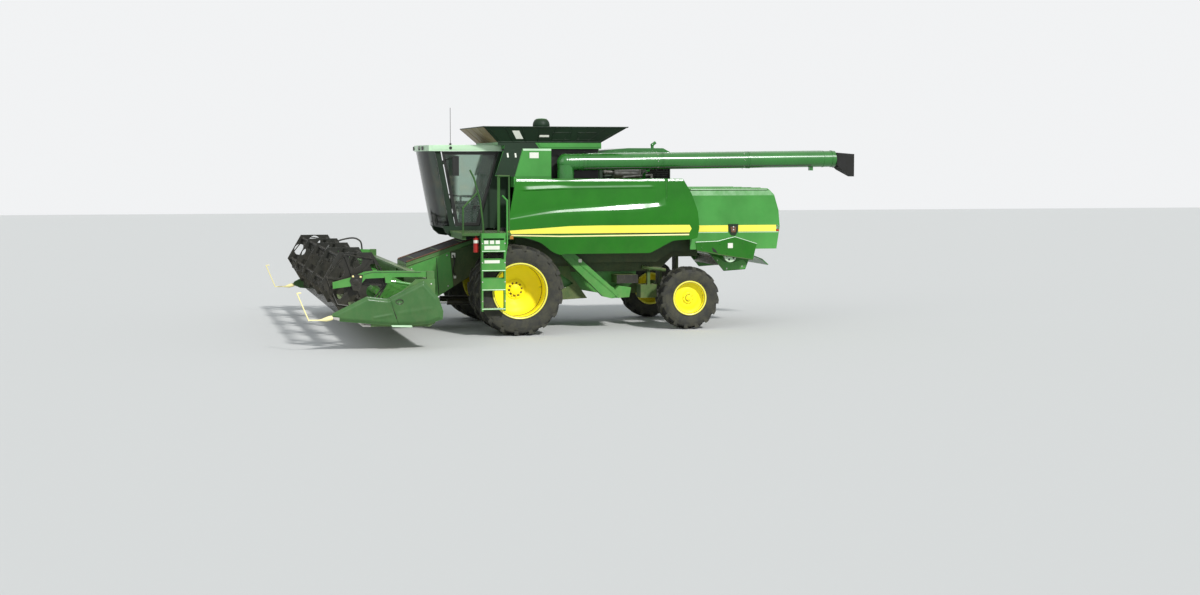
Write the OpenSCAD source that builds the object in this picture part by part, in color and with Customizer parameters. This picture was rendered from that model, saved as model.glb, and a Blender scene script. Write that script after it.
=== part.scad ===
// Self-propelled combine harvester with a grain platform and a tined reel.
// Millimetres. Inside the modules x runs forward from the front axle, y to the
// machine's left and z up from the ground. placed() then moves the whole machine
// so that the origin lies under the middle of its box.

/* [Machine] */
// Distance between the front and rear axles
wheelbase = 3700; // [3650:10:3800]
// Half width over the side shields
shield_y = 1620; // [1600:5:1650]
// Height of the side shields' top edge
shield_top = 3120; // [3100:5:3150]
// Half width of the threshing body
body_y = 1150; // [1100:10:1170]
// Height of the threshing body's top
body_top = 2950; // [2900:10:2980]

/* [Wheels] */
// Radius of the front tyres over the lugs
front_tyre_r = 900; // [880:5:920]
// Width of a front tyre
front_tyre_w = 467; // [440:5:480]
// Radius of the front rims' flanges
front_rim_r = 559; // [545:2:570]
// Distance from the centreline to the inner front tyre's middle
front_inner_y = 1450; // [1440:5:1470]
// Distance from the centreline to the outer front tyre's middle
front_outer_y = 2100; // [2080:5:2120]
// Radius of the rear tyres over the lugs
rear_tyre_r = 650; // [630:5:670]
// Width of a rear tyre
rear_tyre_w = 430; // [400:5:440]
// Radius of the rear rims' flanges
rear_rim_r = 356; // [345:2:365]
// Distance from the centreline to a rear tyre's middle
rear_wheel_y = 1520; // [1510:5:1560]
// Distance from the centreline to a steering pivot
kingpin_y = 1150; // [1130:5:1160]

/* [Cab] */
// Half width of the cab
cab_y = 900; // [880:5:920]
// Height of the cab floor
cab_floor = 2150; // [2140:5:2160]
// Height of the roof's underside
cab_eave = 3680; // [3660:5:3700]
// Thickness of the cab roof
roof_t = 120; // [100:5:130]
// Thickness of the walls and the door
wall_t = 40; // [36:1:44]
// Height of the platform floor
platform_top = 2060; // [2040:5:2080]
// Half width out to the platform's edge
platform_y = 2380; // [2350:5:2400]

/* [Grain tank] */
// Half width of the grain tank
tank_y = 1250; // [1240:5:1270]
// Height of the grain tank's rim above the cab roof
rim_above_roof = 60; // [50:5:80]
// Height of the extension above the tank's rim
extension_h = 320; // [300:5:340]
// Half width of the extension's rim
extension_y = 1450; // [1430:5:1480]
// Thickness of the tank sheets
tank_t = 30; // [26:1:34]

/* [Unloading auger] */
// Distance behind the front axle of the auger's turning axis
turret_back = 1150; // [1130:5:1170]
// Distance from the centreline to the auger's turning axis
turret_y = 1340; // [1330:5:1345]
// Radius of the unloading tube
auger_tube_r = 170; // [160:2:176]
// Drop from the tank's rim to the unloading tube's axis at the elbow
elbow_drop = 405; // [380:5:410]
// Rise of the tube from the elbow to its end
auger_rise = 75; // [50:5:100]
// Distance behind the front axle of the tube's end
auger_end_back = 7000; // [6900:10:7050]

/* [Header] */
// Half width of the header's floor
header_y = 4560; // [4500:10:4600]
// Thickness of an end shield
divider_t = 100; // [90:2:120]
// Distance of the back sheet ahead of the front axle
back_sheet_x = 2050; // [2040:5:2070]
// Radius of the header auger's flights
flight_r = 305; // [290:5:310]
// Radius of the header auger's tube
header_tube_r = 200; // [180:5:220]
// Distance of the reel's axis ahead of the front axle
reel_x = 3480; // [3450:5:3520]
// Height of the reel's axis
reel_z = 1270; // [1250:5:1290]
// Radius of the circle through the tine tubes
bat_r = 518; // [510:2:530]
// Clearance between a reel arm and the reel's end
reel_end_gap = 98; // [70:2:150]
// Length of a tine
tine_l = 210; // [180:5:230]
// Forward reach of the dividers' rods
divider_reach = 4577; // [4550:1:4600]

/* [Hidden] */
$fn = 48;

green = [0.05, 0.33, 0.12];
light_green = [0.12, 0.42, 0.16];
yellow = [0.95, 0.78, 0.10];
black = [0.06, 0.06, 0.06];
rubber = [0.05, 0.05, 0.05];
glass = [0.55, 0.65, 0.68, 0.4];
steel = [0.62, 0.63, 0.64];
cream = [0.90, 0.84, 0.55];

// Clearances between pieces that move and around pins
running = 0.05;
side_gap = 6;
seat_gap = 0.3;

// Overall reach, from which the origin follows
spout_l = 390;
rear_reach = auger_end_back + spout_l;
frame_shift = (rear_reach - divider_reach) / 2;

// Axles
front_axle_z = front_tyre_r;
rear_axle_z = rear_tyre_r;
rear_x = -wheelbase;

// Levels of the tank over the cab
tank_top = cab_eave + roof_t + rim_above_roof;
extension_top = tank_top + extension_h;
elbow_z = tank_top - elbow_drop;
deck_under = tank_top - 220;
bay_h = deck_under - body_top;

// Common bar sizes
rail_r = 17;
pin_r = 25;

module placed() {
    translate([frame_shift, 0, 0]) children();
}

// Box between two corners
module block(lo, hi) {
    translate(lo) cube(hi - lo);
}

// Side outline of x and z points, spanning y0 to y1
module across(y0, y1, outline) {
    translate([0, y1, 0]) rotate([90, 0, 0]) linear_extrude(y1 - y0) polygon(outline);
}

// Front outline of y and z points, spanning x0 to x1
module facing(x0, x1, outline) {
    translate([x0, 0, 0]) rotate([90, 0, 90]) linear_extrude(x1 - x0) polygon(outline);
}

// Round bar between two points
module bar(a, b, r) {
    d = b - a;
    translate(a)
        rotate([0, acos(d[2] / norm(d)), atan2(d[1], d[0])])
            cylinder(h = norm(d), r = r, $fn = 20);
}

// Rail that follows a list of points, with balls at the bends
module rail(points, r) {
    for (i = [0 : len(points) - 2]) bar(points[i], points[i + 1], r);
    for (i = [1 : 1 : len(points) - 2]) translate(points[i]) sphere(r = r * 1.2, $fn = 20);
}

// Drum across the machine from y0 to y1
module drum(x, z, y0, y1, r) {
    translate([x, y1, z]) rotate([90, 0, 0]) cylinder(h = y1 - y0, r = r);
}

// Body of revolution about a wheel's axis, from radius and y points
module turned(x, z, outline) {
    translate([x, 0, z]) rotate([-90, 0, 0]) rotate_extrude($fn = 64) polygon(outline);
}

// Points of an arc about a centre
function arc(c, r, a0, a1, n) = [for (i = [0 : n]) let (a = a0 + (a1 - a0) * i / n)
    c + r * [cos(a), sin(a)]];

// Outline of a belt or chain round two wheels
function loop_outline(a, ra, b, rb) =
    let (turn = atan2(b[1] - a[1], b[0] - a[0]), lap = acos((ra - rb) / norm(b - a)))
    concat(arc(a, ra, turn + lap, turn + 360 - lap, 14), arc(b, rb, turn - lap, turn + lap, 14));

// Belt or chain of thickness t that grips two wheels, spanning y0 to y1
module belt(a, ra, b, rb, t, y0, y1) {
    difference() {
        across(y0, y1, loop_outline(a, ra + t, b, rb + t));
        across(y0 - 1, y1 + 1, loop_outline(a, ra - 2, b, rb - 2));
    }
}

// Both sides of the machine
module both_sides() {
    children();
    mirror([0, 1, 0]) children();
}

// Wheels

rim_lip = 26;
rim_metal = 12;
lug_rise = 38;
front_lugs = 18;
rear_lugs = 16;
// Where a lug's four points lie within its pitch
lug_steps = [0, 0.08, 0.40, 0.48];

// Half width between the bead seats' flanges of a tyre
function bead_half(tyre_w) = tyre_w * 0.435;

// Angle at which the first lug starts, so that a lug's edge meets the ground
function first_lug(n) = -90 - lug_steps[1] * 360 / n;

// Points of a plain ring of a tyre
function plain_ring(n, r, y) = [for (i = [0 : n - 1]) let (a = first_lug(n) + (i + 0.5) * 360 / n)
    [r * cos(a), y, r * sin(a)]];

// Points of a ring that runs over the lugs of one half, four to a lug. The other half's
// lugs stand half a pitch on, and a ring is turned by its lag behind the tyre's middle.
function lug_ring(n, top, y, lag, half) = [for (i = [0 : 4 * n - 1])
    let (k = floor((i - 2 * half) / 4), m = i - 2 * half - 4 * k,
        a = first_lug(n) + (k + half / 2 + lug_steps[m]) * 360 / n + lag,
        r = m == 1 || m == 2 ? top : top - lug_rise)
    [r * cos(a), y, r * sin(a)]];

// Points of the low ring between the two halves
function middle_ring(n, r) = [for (i = [0 : 4 * n - 1])
    let (k = floor(i / 4), a = first_lug(n) + (k + lug_steps[i - 4 * k]) * 360 / n)
    [r * cos(a), 0, r * sin(a)]];

// Triangles between two rings of n points that start at points a and b
function even_strip(a, b, n) = [for (i = [0 : n - 1]) let (j = (i + 1) % n)
    each [[a + i, a + j, b + j], [a + i, b + j, b + i]]];

// Triangles from a ring of n points out to one of 4 n points, and back
function fan_out(a, b, n) = [for (k = [0 : n - 1]) each concat(
    [for (j = [0 : 3]) [a + k, b + (4 * k + j + 1) % (4 * n), b + 4 * k + j]],
    [[a + k, a + (k + 1) % n, b + (4 * k + 4) % (4 * n)]])];
function fan_in(a, b, n) = [for (k = [0 : n - 1]) each concat(
    [for (j = [0 : 3]) [a + 4 * k + j, a + (4 * k + j + 1) % (4 * n), b + k]],
    [[a + (4 * k + 4) % (4 * n), b + (k + 1) % n, b + k]])];

// Tyre with n lugs a side, about an axis at x, y and z
module lugged_tyre(x, y, z, r, w, rim_r, n) {
    flat = cos(180 / n);
    seat = (rim_r - rim_lip) / flat + seat_gap;
    over_lip = rim_r / flat + seat_gap;
    bead = bead_half(w) - seat_gap;
    bulge = (rim_r + r) / 2;
    edge = w * 0.47;
    lag = (edge - w * 0.04) / r * 57;
    rings = concat(
        plain_ring(n, seat, -bead), plain_ring(n, over_lip, -bead),
        plain_ring(n, bulge, -w / 2), lug_ring(n, r - 16, -edge, lag, 0),
        lug_ring(n, r, -w * 0.04, 0, 0), middle_ring(n, r - lug_rise),
        lug_ring(n, r, w * 0.04, 0, 1), lug_ring(n, r - 16, edge, lag, 1),
        plain_ring(n, bulge, w / 2), plain_ring(n, over_lip, bead),
        plain_ring(n, seat, bead));
    faces = concat(even_strip(0, n, n), even_strip(n, 2 * n, n), fan_out(2 * n, 3 * n, n),
        even_strip(3 * n, 7 * n, 4 * n), even_strip(7 * n, 11 * n, 4 * n),
        even_strip(11 * n, 15 * n, 4 * n), even_strip(15 * n, 19 * n, 4 * n),
        fan_in(19 * n, 23 * n, n), even_strip(23 * n, 24 * n, n),
        even_strip(24 * n, 25 * n, n), even_strip(25 * n, 0, n));
    translate([x, y, z]) polyhedron(points = rings, faces = faces);
}

// Rim barrel section with its two flanges
function rim_section(y, w, rim_r) = [
    [rim_r, y - bead_half(w) - rim_metal], [rim_r, y - bead_half(w)],
    [rim_r - rim_lip, y - bead_half(w)], [rim_r - rim_lip, y + bead_half(w)],
    [rim_r, y + bead_half(w)], [rim_r, y + bead_half(w) + rim_metal],
    [rim_r - rim_lip - rim_metal, y + bead_half(w) + rim_metal],
    [rim_r - rim_lip - rim_metal, y - bead_half(w) - rim_metal]];

// The dual front wheels share one hub drum
inner_disc_y = 1640;
outer_disc_y = 1905;
// The outer disc runs in to the hub as a cone
disc_dish = 145;
dish_face = outer_disc_y - disc_dish;
disc_t = 16;
hub_r = 205;
front_spindle_r = 80;
front_spindle_end = 1800;
front_drive_r = 240;
front_drive_end = inner_disc_y - disc_t - side_gap;

module front_tyre_pair() {
    color(rubber)
    for (y = [front_inner_y, front_outer_y])
        lugged_tyre(0, y, front_axle_z, front_tyre_r, front_tyre_w, front_rim_r, front_lugs);
}

module front_rim_pair() {
    disc_r = front_rim_r - rim_lip - rim_metal;
    color(yellow)
    difference() {
        union() {
            for (y = [front_inner_y, front_outer_y])
                turned(0, front_axle_z, rim_section(y, front_tyre_w, front_rim_r));
            drum(0, front_axle_z, inner_disc_y - disc_t, inner_disc_y, disc_r + 2);
            turned(0, front_axle_z, [[hub_r - 2, dish_face - disc_t], [hub_r - 2, dish_face],
                [disc_r + 2, outer_disc_y], [disc_r + 2, outer_disc_y - disc_t]]);
            drum(0, front_axle_z, inner_disc_y - disc_t / 2, dish_face + 30, hub_r);
            drum(0, front_axle_z, dish_face, dish_face + 75, 110);
        }
        drum(0, front_axle_z, 1500, front_spindle_end, front_spindle_r + running);
    }
}

rear_disc_y = 1575;
rear_hub_r = 120;
rear_spindle_r = 45;
rear_hub_start = 1330;

module rear_tyre() {
    color(rubber)
    lugged_tyre(rear_x, rear_wheel_y, rear_axle_z, rear_tyre_r, rear_tyre_w, rear_rim_r,
        rear_lugs);
}

module rear_rim() {
    disc_r = rear_rim_r - rim_lip - rim_metal;
    color(yellow)
    difference() {
        union() {
            turned(rear_x, rear_axle_z, rim_section(rear_wheel_y, rear_tyre_w, rear_rim_r));
            drum(rear_x, rear_axle_z, rear_disc_y - disc_t, rear_disc_y, disc_r + 2);
            drum(rear_x, rear_axle_z, rear_hub_start, rear_disc_y + 40, rear_hub_r);
            drum(rear_x, rear_axle_z, rear_disc_y, rear_disc_y + 80, 60);
        }
        drum(rear_x, rear_axle_z, rear_hub_start - 1, rear_disc_y + 20, rear_spindle_r + running);
    }
}

// Axles and steering

eye_half = 130;
kingpin_r = 35;
kingpin_eye_r = 75;
fork_t = 55;
arm_back = 260;
tie_r = 20;

module front_axle() {
    color(green) {
        block([-140, -1000, front_axle_z - 140], [140, 1000, front_axle_z + 140]);
        for (y = [-0.72, 0.72] * body_y)
            block([-200, y - 60, front_axle_z - 40], [200, y + 60, frame_z]);
        block([-120, -200, front_axle_z - 300], [120, 200, front_axle_z - 130]);
        both_sides() {
            drum(0, front_axle_z, 950, 1180, 200);
            drum(0, front_axle_z, 1150, front_drive_end, front_drive_r);
            drum(0, front_axle_z, front_drive_end - 20, front_spindle_end - 20, front_spindle_r);
        }
        for (y = [-1, 1] * lift_y)
            for (s = [-1, 1])
                across(y + s * 76 - 10, y + s * 76 + 10, [[60, front_axle_z - 135],
                    [60, lift_base[1] - 60], [lift_base[0] + 60, lift_base[1] - 60],
                    [lift_base[0] + 60, lift_base[1] + 50], [138, front_axle_z - 60],
                    [138, front_axle_z - 135]]);
        for (y = [-1, 1] * lift_y) drum(lift_base[0], lift_base[1], y - 87, y + 87, pin_r);
    }
}

module rear_axle() {
    inner = kingpin_y - kingpin_eye_r * 0.7;
    color(green) {
        difference() {
            union() {
                block([rear_x - 100, -inner, rear_axle_z - 100],
                    [rear_x + 100, inner, rear_axle_z + 100]);
                both_sides()
                    translate([rear_x, kingpin_y, rear_axle_z - eye_half])
                        cylinder(h = 2 * eye_half, r = kingpin_eye_r);
            }
            both_sides()
                translate([rear_x, kingpin_y, rear_axle_z - eye_half - 1])
                    cylinder(h = 2 * eye_half + 2, r = kingpin_r + running);
        }
        translate([rear_x - 220, 0, rear_axle_z + swing_h]) rotate([0, 90, 0])
            cylinder(h = 440, r = swing_r);
        block([rear_x - 90, -110, rear_axle_z + 90], [rear_x + 90, 110, rear_axle_z + 200]);
    }
}

// Fork round the axle's eye, spindle, kingpin and steering arm of the left side
module knuckle() {
    ear = eye_half + side_gap;
    wrap = kingpin_eye_r + side_gap;
    color(green) {
        for (s = [-1, 1])
            fork_ear(rear_axle_z + s * (ear + fork_t / 2) - fork_t / 2);
        block([rear_x - 60, kingpin_y + wrap, rear_axle_z - ear - fork_t],
            [rear_x + 60, kingpin_y + wrap + 45, rear_axle_z + ear + fork_t]);
        translate([rear_x, kingpin_y, rear_axle_z - ear - 5])
            cylinder(h = 2 * ear + 10, r = kingpin_r);
        drum(rear_x, rear_axle_z, kingpin_y + wrap + 40, rear_disc_y + 10, rear_spindle_r);
        drum(rear_x, rear_axle_z, kingpin_y + wrap + 40, rear_hub_start - side_gap, 70);
        block([rear_x - arm_back, kingpin_y - 30, rear_axle_z - ear - fork_t],
            [rear_x + 20, kingpin_y + 30, rear_axle_z - ear - side_gap]);
        translate([rear_x - arm_back, kingpin_y, rear_axle_z - ear - fork_t])
            cylinder(h = fork_t - side_gap, r = 38);
        translate([rear_x - arm_back, kingpin_y, rear_axle_z - ear - 10])
            cylinder(h = 60, r = tie_r);
    }
}

module fork_ear(z0) {
    translate([rear_x, kingpin_y, z0]) cylinder(h = fork_t, r = kingpin_eye_r);
    block([rear_x - 60, kingpin_y, z0],
        [rear_x + 60, kingpin_y + kingpin_eye_r + side_gap + 45, z0 + fork_t]);
}

module tie_rod() {
    z = rear_axle_z - eye_half - side_gap;
    x = rear_x - arm_back;
    end = kingpin_y;
    color(steel)
    difference() {
        union() {
            block([x - 22, -end, z], [x + 22, end, z + 34]);
            for (s = [-1, 1]) translate([x, s * end, z]) cylinder(h = 34, r = 38);
        }
        for (s = [-1, 1])
            translate([x, s * end, z - 1]) cylinder(h = 36, r = tie_r + running);
    }
}

// Frame and body

frame_z = 1180;
frame_h = 200;
frame_y = 830;
frame_end = rear_x - 420;
frame_kink = rear_x + 550;
hitch_x = frame_end - 60;
hitch_t = 25;
hitch_r = 16.5;
body_front = -150;
body_rear = rear_x - 350;
hood_front = rear_x - 100;
hood_end = rear_x - 2070;
hood_top = body_top - 40;
hood_t = 30;
hood_y = 1400;
elevator_out = 1290;
swing_h = 140;
swing_r = 60;

// Hinges along the side shields' top edge
hinge_y = shield_y - 64;
hinge_z = shield_top - 40;
hinge_pin_r = 8;
shield_hinges = [-400, rear_x / 2 - 50, rear_x + 400];

module main_frame() {
    rise = frame_z + 290;
    post_low = frame_z + frame_h - 1;
    color(green)
    difference() {
        union() {
            both_sides() {
                block([frame_kink - 50, frame_y - 45, frame_z],
                    [320, frame_y + 45, frame_z + frame_h]);
                across(frame_y - 45, frame_y + 45, [[frame_kink - 100, frame_z],
                    [frame_kink, frame_z], [frame_kink, frame_z + frame_h],
                    [frame_kink - 350, rise + 130], [frame_end, rise + 130],
                    [frame_end, rise], [frame_kink - 410, rise]]);
                block([-145, frame_y - 45, post_low],
                    [-65, frame_y + 45, cab_floor - floor_t - seat_gap]);
                across(feeder_y + 10, frame_y - 40, [[20, frame_z], [300, frame_z],
                    [pivot[0] + 80, pivot[1] + 60], [pivot[0] - 80, pivot[1] + 60]]);
            }
            drum(pivot[0], pivot[1], -feeder_y - 20, feeder_y + 20, pivot_r);
            block([frame_end, -frame_y, rise], [frame_end + 50, frame_y, rise + 120]);
            for (s = [-1, 1])
                block([rear_x + s * 185 - 25, -160, rear_axle_z + 60],
                    [rear_x + s * 185 + 25, 160, rise + 60]);
            for (s = [-1, 1])
                block([rear_x + s * 185 - 25, -frame_y, rise],
                    [rear_x + s * 185 + 25, frame_y, rise + 120]);
            block([frame_kink + 230, -frame_y, frame_z + 10],
                [frame_kink + 310, frame_y, frame_z + 110]);
            block([frame_end - 110, -90, rise], [frame_end + 10, 90, rise + hitch_t]);
        }
        translate([hitch_x, 0, rise - 1]) cylinder(h = hitch_t + 2, r = hitch_r);
        translate([rear_x - 300, 0, rear_axle_z + swing_h]) rotate([0, 90, 0])
            cylinder(h = 600, r = swing_r + running);
    }
}

module separator_body() {
    side = body_y - 60;
    bottom = frame_z + frame_h + seat_gap;
    hood_seat = hood_top - hood_t - seat_gap;
    color(green) {
        across(-side, side, [[body_front, bottom], [body_front, body_top],
            [hood_front + seat_gap, body_top], [hood_front + seat_gap, hood_seat],
            [body_rear, hood_seat],
            [body_rear, frame_z + 421], [frame_kink - 350, frame_z + 421],
            [frame_kink, bottom]]);
        both_sides() {
            for (x = shield_hinges)
                difference() {
                    union() {
                        block([x, side + seat_gap, body_top - 70],
                            [x + 60, hinge_y, body_top - 10]);
                        block([x, hinge_y - 14, body_top - 70], [x + 60, hinge_y + 14, hinge_z]);
                        translate([x, hinge_y, hinge_z]) rotate([0, 90, 0])
                            cylinder(h = 60, r = 18);
                    }
                    translate([x - 1, hinge_y, hinge_z]) rotate([0, 90, 0])
                        cylinder(h = 62, r = hinge_pin_r + running);
                }
        }
    }
}

// Cleaning shoe under the body, its cross augers and the slanting elevators
module elevators() {
    shoe_y = frame_y - 60;
    shoe_end = rear_x + 900;
    color(green) {
        across(-shoe_y, shoe_y, [[-700, frame_z + 5], [-1000, 900], [-2000, 720],
            [shoe_end + 300, 720], [shoe_end, 1000], [shoe_end, frame_z + 5]]);
        across(-frame_y + 50, frame_y - 50, [[-800, frame_z], [shoe_end, frame_z],
            [shoe_end, frame_z + frame_h - 5], [-800, frame_z + frame_h - 5]]);
        for (x = [-2130, -2420]) drum(x, 790, -elevator_out + 60, elevator_out - 60, 95);
        both_sides() {
            across(body_y - 40, elevator_out, [[-1060, 1560], [-1300, 1620],
                [-2300, 740], [-2140, 640], [-1960, 680]]);
            across(body_y - 60 + seat_gap, elevator_out, [[-1060, 1560], [-900, 1700],
                [-1100, 1900], [-1350, 1660]]);
            across(body_y - 40, elevator_out - 20, [[-2150, 640], [-2520, 660],
                [-2560, 860], [-2300, 900], [-2200, 800]]);
        }
    }
}

module straw_hood() {
    wide = hood_y + 1;
    shoulder = [[-wide, 1500], [wide, 1500], [wide, hood_top - 150], [hood_y - 30, hood_top - 45],
        [hood_y - 95, hood_top + 1], [-hood_y + 95, hood_top + 1], [-hood_y + 30, hood_top - 45],
        [-wide, hood_top - 150]];
    color(light_green)
    difference() {
        intersection() {
            across(-hood_y, hood_y, [[hood_front, hood_top], [hood_end + 250, hood_top],
                [hood_end + 130, hood_top - 130], [hood_end + 30, 2450], [hood_end, 2111],
                [hood_end + 70, 1640], [hood_front, 1640]]);
            facing(hood_end - 1, hood_front + 1, shoulder);
        }
        across(-hood_y + hood_t, hood_y - hood_t, [[hood_front + 1, hood_top - hood_t],
            [hood_end + 270, hood_top - hood_t], [hood_end + 160, hood_top - 130],
            [hood_end + 60, 2450], [hood_end + 30, 2111], [hood_end + 100, 1600],
            [hood_front + 1, 1600]]);
    }
}

chopper_x = rear_x - 1000;
chopper_z = 1500;
chopper_r = 260;

module chopper_housing() {
    y = 900;
    front = rear_x - 450;
    rear = rear_x - 1600;
    color(green)
    difference() {
        union() {
            both_sides() {
                across(hood_y + seat_gap, hood_y + 12, [[front + 236, 1805], [front - 250, 1822],
                    [front - 624, 1910], [rear + 40, 1760], [rear + 128, 1400],
                    [front - 405, 1495], [front + 208, 1607]]);
                across(y - 20, y, [[front, 2000], [rear, 2000], [rear, 1500],
                    [rear + 120, 1180], [rear + 600, 1150], [front - 250, 1500],
                    [front, 1640]]);
                block([rear + 600, y - 10, 1900], [rear + 700, 1370 - seat_gap, 1960]);
            }
            across(-y, y, [[front, 1980], [front, 2000], [rear, 2000], [rear, 1980]]);
            across(-y, y, [[front - 250, 1500], [front, 1640], [front, 1660],
                [front - 270, 1520]]);
            across(-y, y, [[rear, 1500], [rear - 260, 1400], [rear - 400, 1280],
                [rear - 390, 1265], [rear - 250, 1380], [rear, 1480]]);
        }
        drum(chopper_x, chopper_z, -y - 1, y + 1, 40 + running);
    }
}

module chopper_rotor() {
    y = 900;
    color(steel) {
        drum(chopper_x, chopper_z, -y + 40, y - 40, 90);
        drum(chopper_x, chopper_z, -y - 60, hood_y - 60, 40);
        difference() {
            drum(chopper_x, chopper_z, hood_y - 100, hood_y - 60, 140);
            drum(chopper_x, chopper_z, hood_y - 101, hood_y - 59, 105);
        }
        drum(chopper_x, chopper_z, hood_y - 86, hood_y - 74, 108);
        for (a = [0 : 60 : 300]) translate([chopper_x, 0, chopper_z]) rotate([0, a, 0])
            block([60, -y + 60, -6], [chopper_r, y - 60, 6]);
    }
}

// Grain tank, engine and what stands on the body

tank_front = 240;
tank_rear = -1925;
tank_rim_h = 130;
tank_waist = -870;
tank_narrow_y = 1040;
fill_x = -930;
dome_r = 175;

// The tank is welded from flat sheets that end a seat's width apart
module grain_tank() {
    low = body_top + seat_gap;
    on_floor = low + tank_t + seat_gap;
    ledge = tank_top - tank_rim_h;
    on_ledge = ledge + tank_t + seat_gap;
    over_cab = cab_eave + roof_t + side_gap;
    step_x = roof_rear - side_gap;
    side_in = tank_y - tank_t - seat_gap;
    narrow_in = tank_narrow_y - tank_t - seat_gap;
    column_front = body_front + 60;
    // Sheets that cross the middle: lowest corner and highest corner
    sheets = [
        [[tank_waist, -side_in, low], [column_front, side_in, low + tank_t]],
        [[tank_rear, -tank_narrow_y, low], [tank_waist - seat_gap, tank_narrow_y, low + tank_t]],
        [[column_front - tank_t, -side_in, on_floor], [column_front, side_in, ledge - seat_gap]],
        [[column_front - tank_t, -side_in, ledge], [step_x, side_in, ledge + tank_t]],
        [[step_x - tank_t, -side_in, on_ledge], [step_x, side_in, over_cab - seat_gap]],
        [[step_x - tank_t, -side_in, over_cab], [tank_front, side_in, over_cab + tank_t]],
        [[tank_front - tank_t, -side_in, over_cab + tank_t + seat_gap],
            [tank_front, side_in, tank_top]]];
    // Sheets of the left side that the right side mirrors
    side_sheets = [
        [[tank_waist, tank_narrow_y, on_floor], [tank_waist + tank_t, side_in, ledge + tank_t]],
        [[tank_rear, narrow_in + seat_gap, on_floor],
            [tank_waist - seat_gap, tank_narrow_y, ledge - seat_gap]],
        [[tank_rear, narrow_in + seat_gap, ledge],
            [tank_waist - seat_gap, side_in, ledge + tank_t]]];
    color(light_green) {
        for (row = sheets) block(row[0], row[1]);
        both_sides() {
            for (row = side_sheets) block(row[0], row[1]);
            across(tank_y - tank_t, tank_y, [[tank_waist, low], [column_front, low],
                [column_front, ledge], [step_x, ledge], [step_x, over_cab],
                [tank_front, over_cab], [tank_front, tank_top], [tank_rear, tank_top],
                [tank_rear, ledge], [tank_waist, ledge]]);
            across(tank_y - tank_t, tank_y, [[column_front + seat_gap, cab_eave + 20],
                [roof_rear + 20, cab_eave + 4], [roof_rear + 185, body_top + 227],
                [column_front + seat_gap, body_top + 240]]);
        }
        facing(tank_rear, tank_rear + tank_t, [[-narrow_in, on_floor], [narrow_in, on_floor],
            [narrow_in, on_ledge], [side_in, on_ledge], [side_in, tank_top],
            [-side_in, tank_top], [-side_in, on_ledge], [-narrow_in, on_ledge]]);
        translate([fill_x, 0, on_floor]) cylinder(h = extension_top + 30 - on_floor, r = 90);
        translate([fill_x, 0, extension_top + 10]) cylinder(h = 60, r = dome_r);
        translate([fill_x, 0, extension_top + 69])
            cylinder(h = 121, r1 = dome_r, r2 = dome_r - 65);
        for (z = [body_top + 350, ledge - 70])
            block([fill_x - 25, -narrow_in, z], [fill_x + 25, narrow_in, z + 40]);
    }
}

// Flared sheets round the tank's rim
module tank_extension() {
    rows = [[tank_front, tank_rear, tank_y, tank_top + seat_gap],
        [570, -2460, extension_y, extension_top]];
    color(green)
    difference() {
        flare(rows[0], rows[1], 0);
        flare(rows[0], rows[1], tank_t);
    }
}

// Four-sided flare between two rims, given as front x, rear x, half width and height
module flare(low, high, inset) {
    lift = inset > 0 ? 1 : 0;
    p = [for (r = [low, high], s = [[0, 1], [0, -1], [1, -1], [1, 1]])
        [r[s[0]] + (s[0] == 0 ? -inset : inset), s[1] * (r[2] - inset),
            r[3] + (r == high ? lift : -lift)]];
    polyhedron(points = p, faces = [[3, 2, 1, 0], [4, 5, 6, 7],
        [1, 5, 4, 0], [2, 6, 5, 1], [3, 7, 6, 2], [0, 4, 7, 3]]);
}

module engine() {
    color(steel)
    block([tank_rear - 1275, -500, body_top + seat_gap],
        [tank_rear - 275, 450, deck_under - 90]);
}

// Cradle of the folded auger, which is open on its outer side
rest_x = tank_rear - 975;
rest_y = turret_y - auger_tube_r - 20;
rest_top = auger_at((-turret_back - rest_x) / (auger_end_back - turret_back))[2]
    - auger_tube_r - 8;

module engine_deck() {
    front = tank_rear - 35;
    rear = rear_x + 200;
    under = deck_under;
    color(green) {
        across(-1100, 900, [[front, under], [front, under + 60], [front - 640, under + 110],
            [rear + 149, under + 110], [rear, under + 30], [rear, under]]);
        for (x = [rear + 20, front - 50], y = [-1080, 850])
            block([x - 30, y, body_top + seat_gap], [x + 30, y + 40, under - seat_gap]);
        block([rear - 290, -1060, body_top + seat_gap], [rear - 60, 1060, body_top + 60]);
        rail([[rear + 330, 700, under + 100], [rear + 330, 700, under + 180],
            [rear + 260, 700, under + 235]], 32);
        facing(rest_x, rest_x + 60, [[1030, body_top + seat_gap], [1085, body_top + seat_gap],
            [rest_y + 20, rest_top - 70], [turret_y + 120, rest_top - 35],
            [turret_y + 140, rest_top], [rest_y, rest_top], [rest_y, rest_top + 110],
            [rest_y - 35, rest_top + 110], [rest_y - 45, rest_top - 20]]);
    }
}

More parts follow.
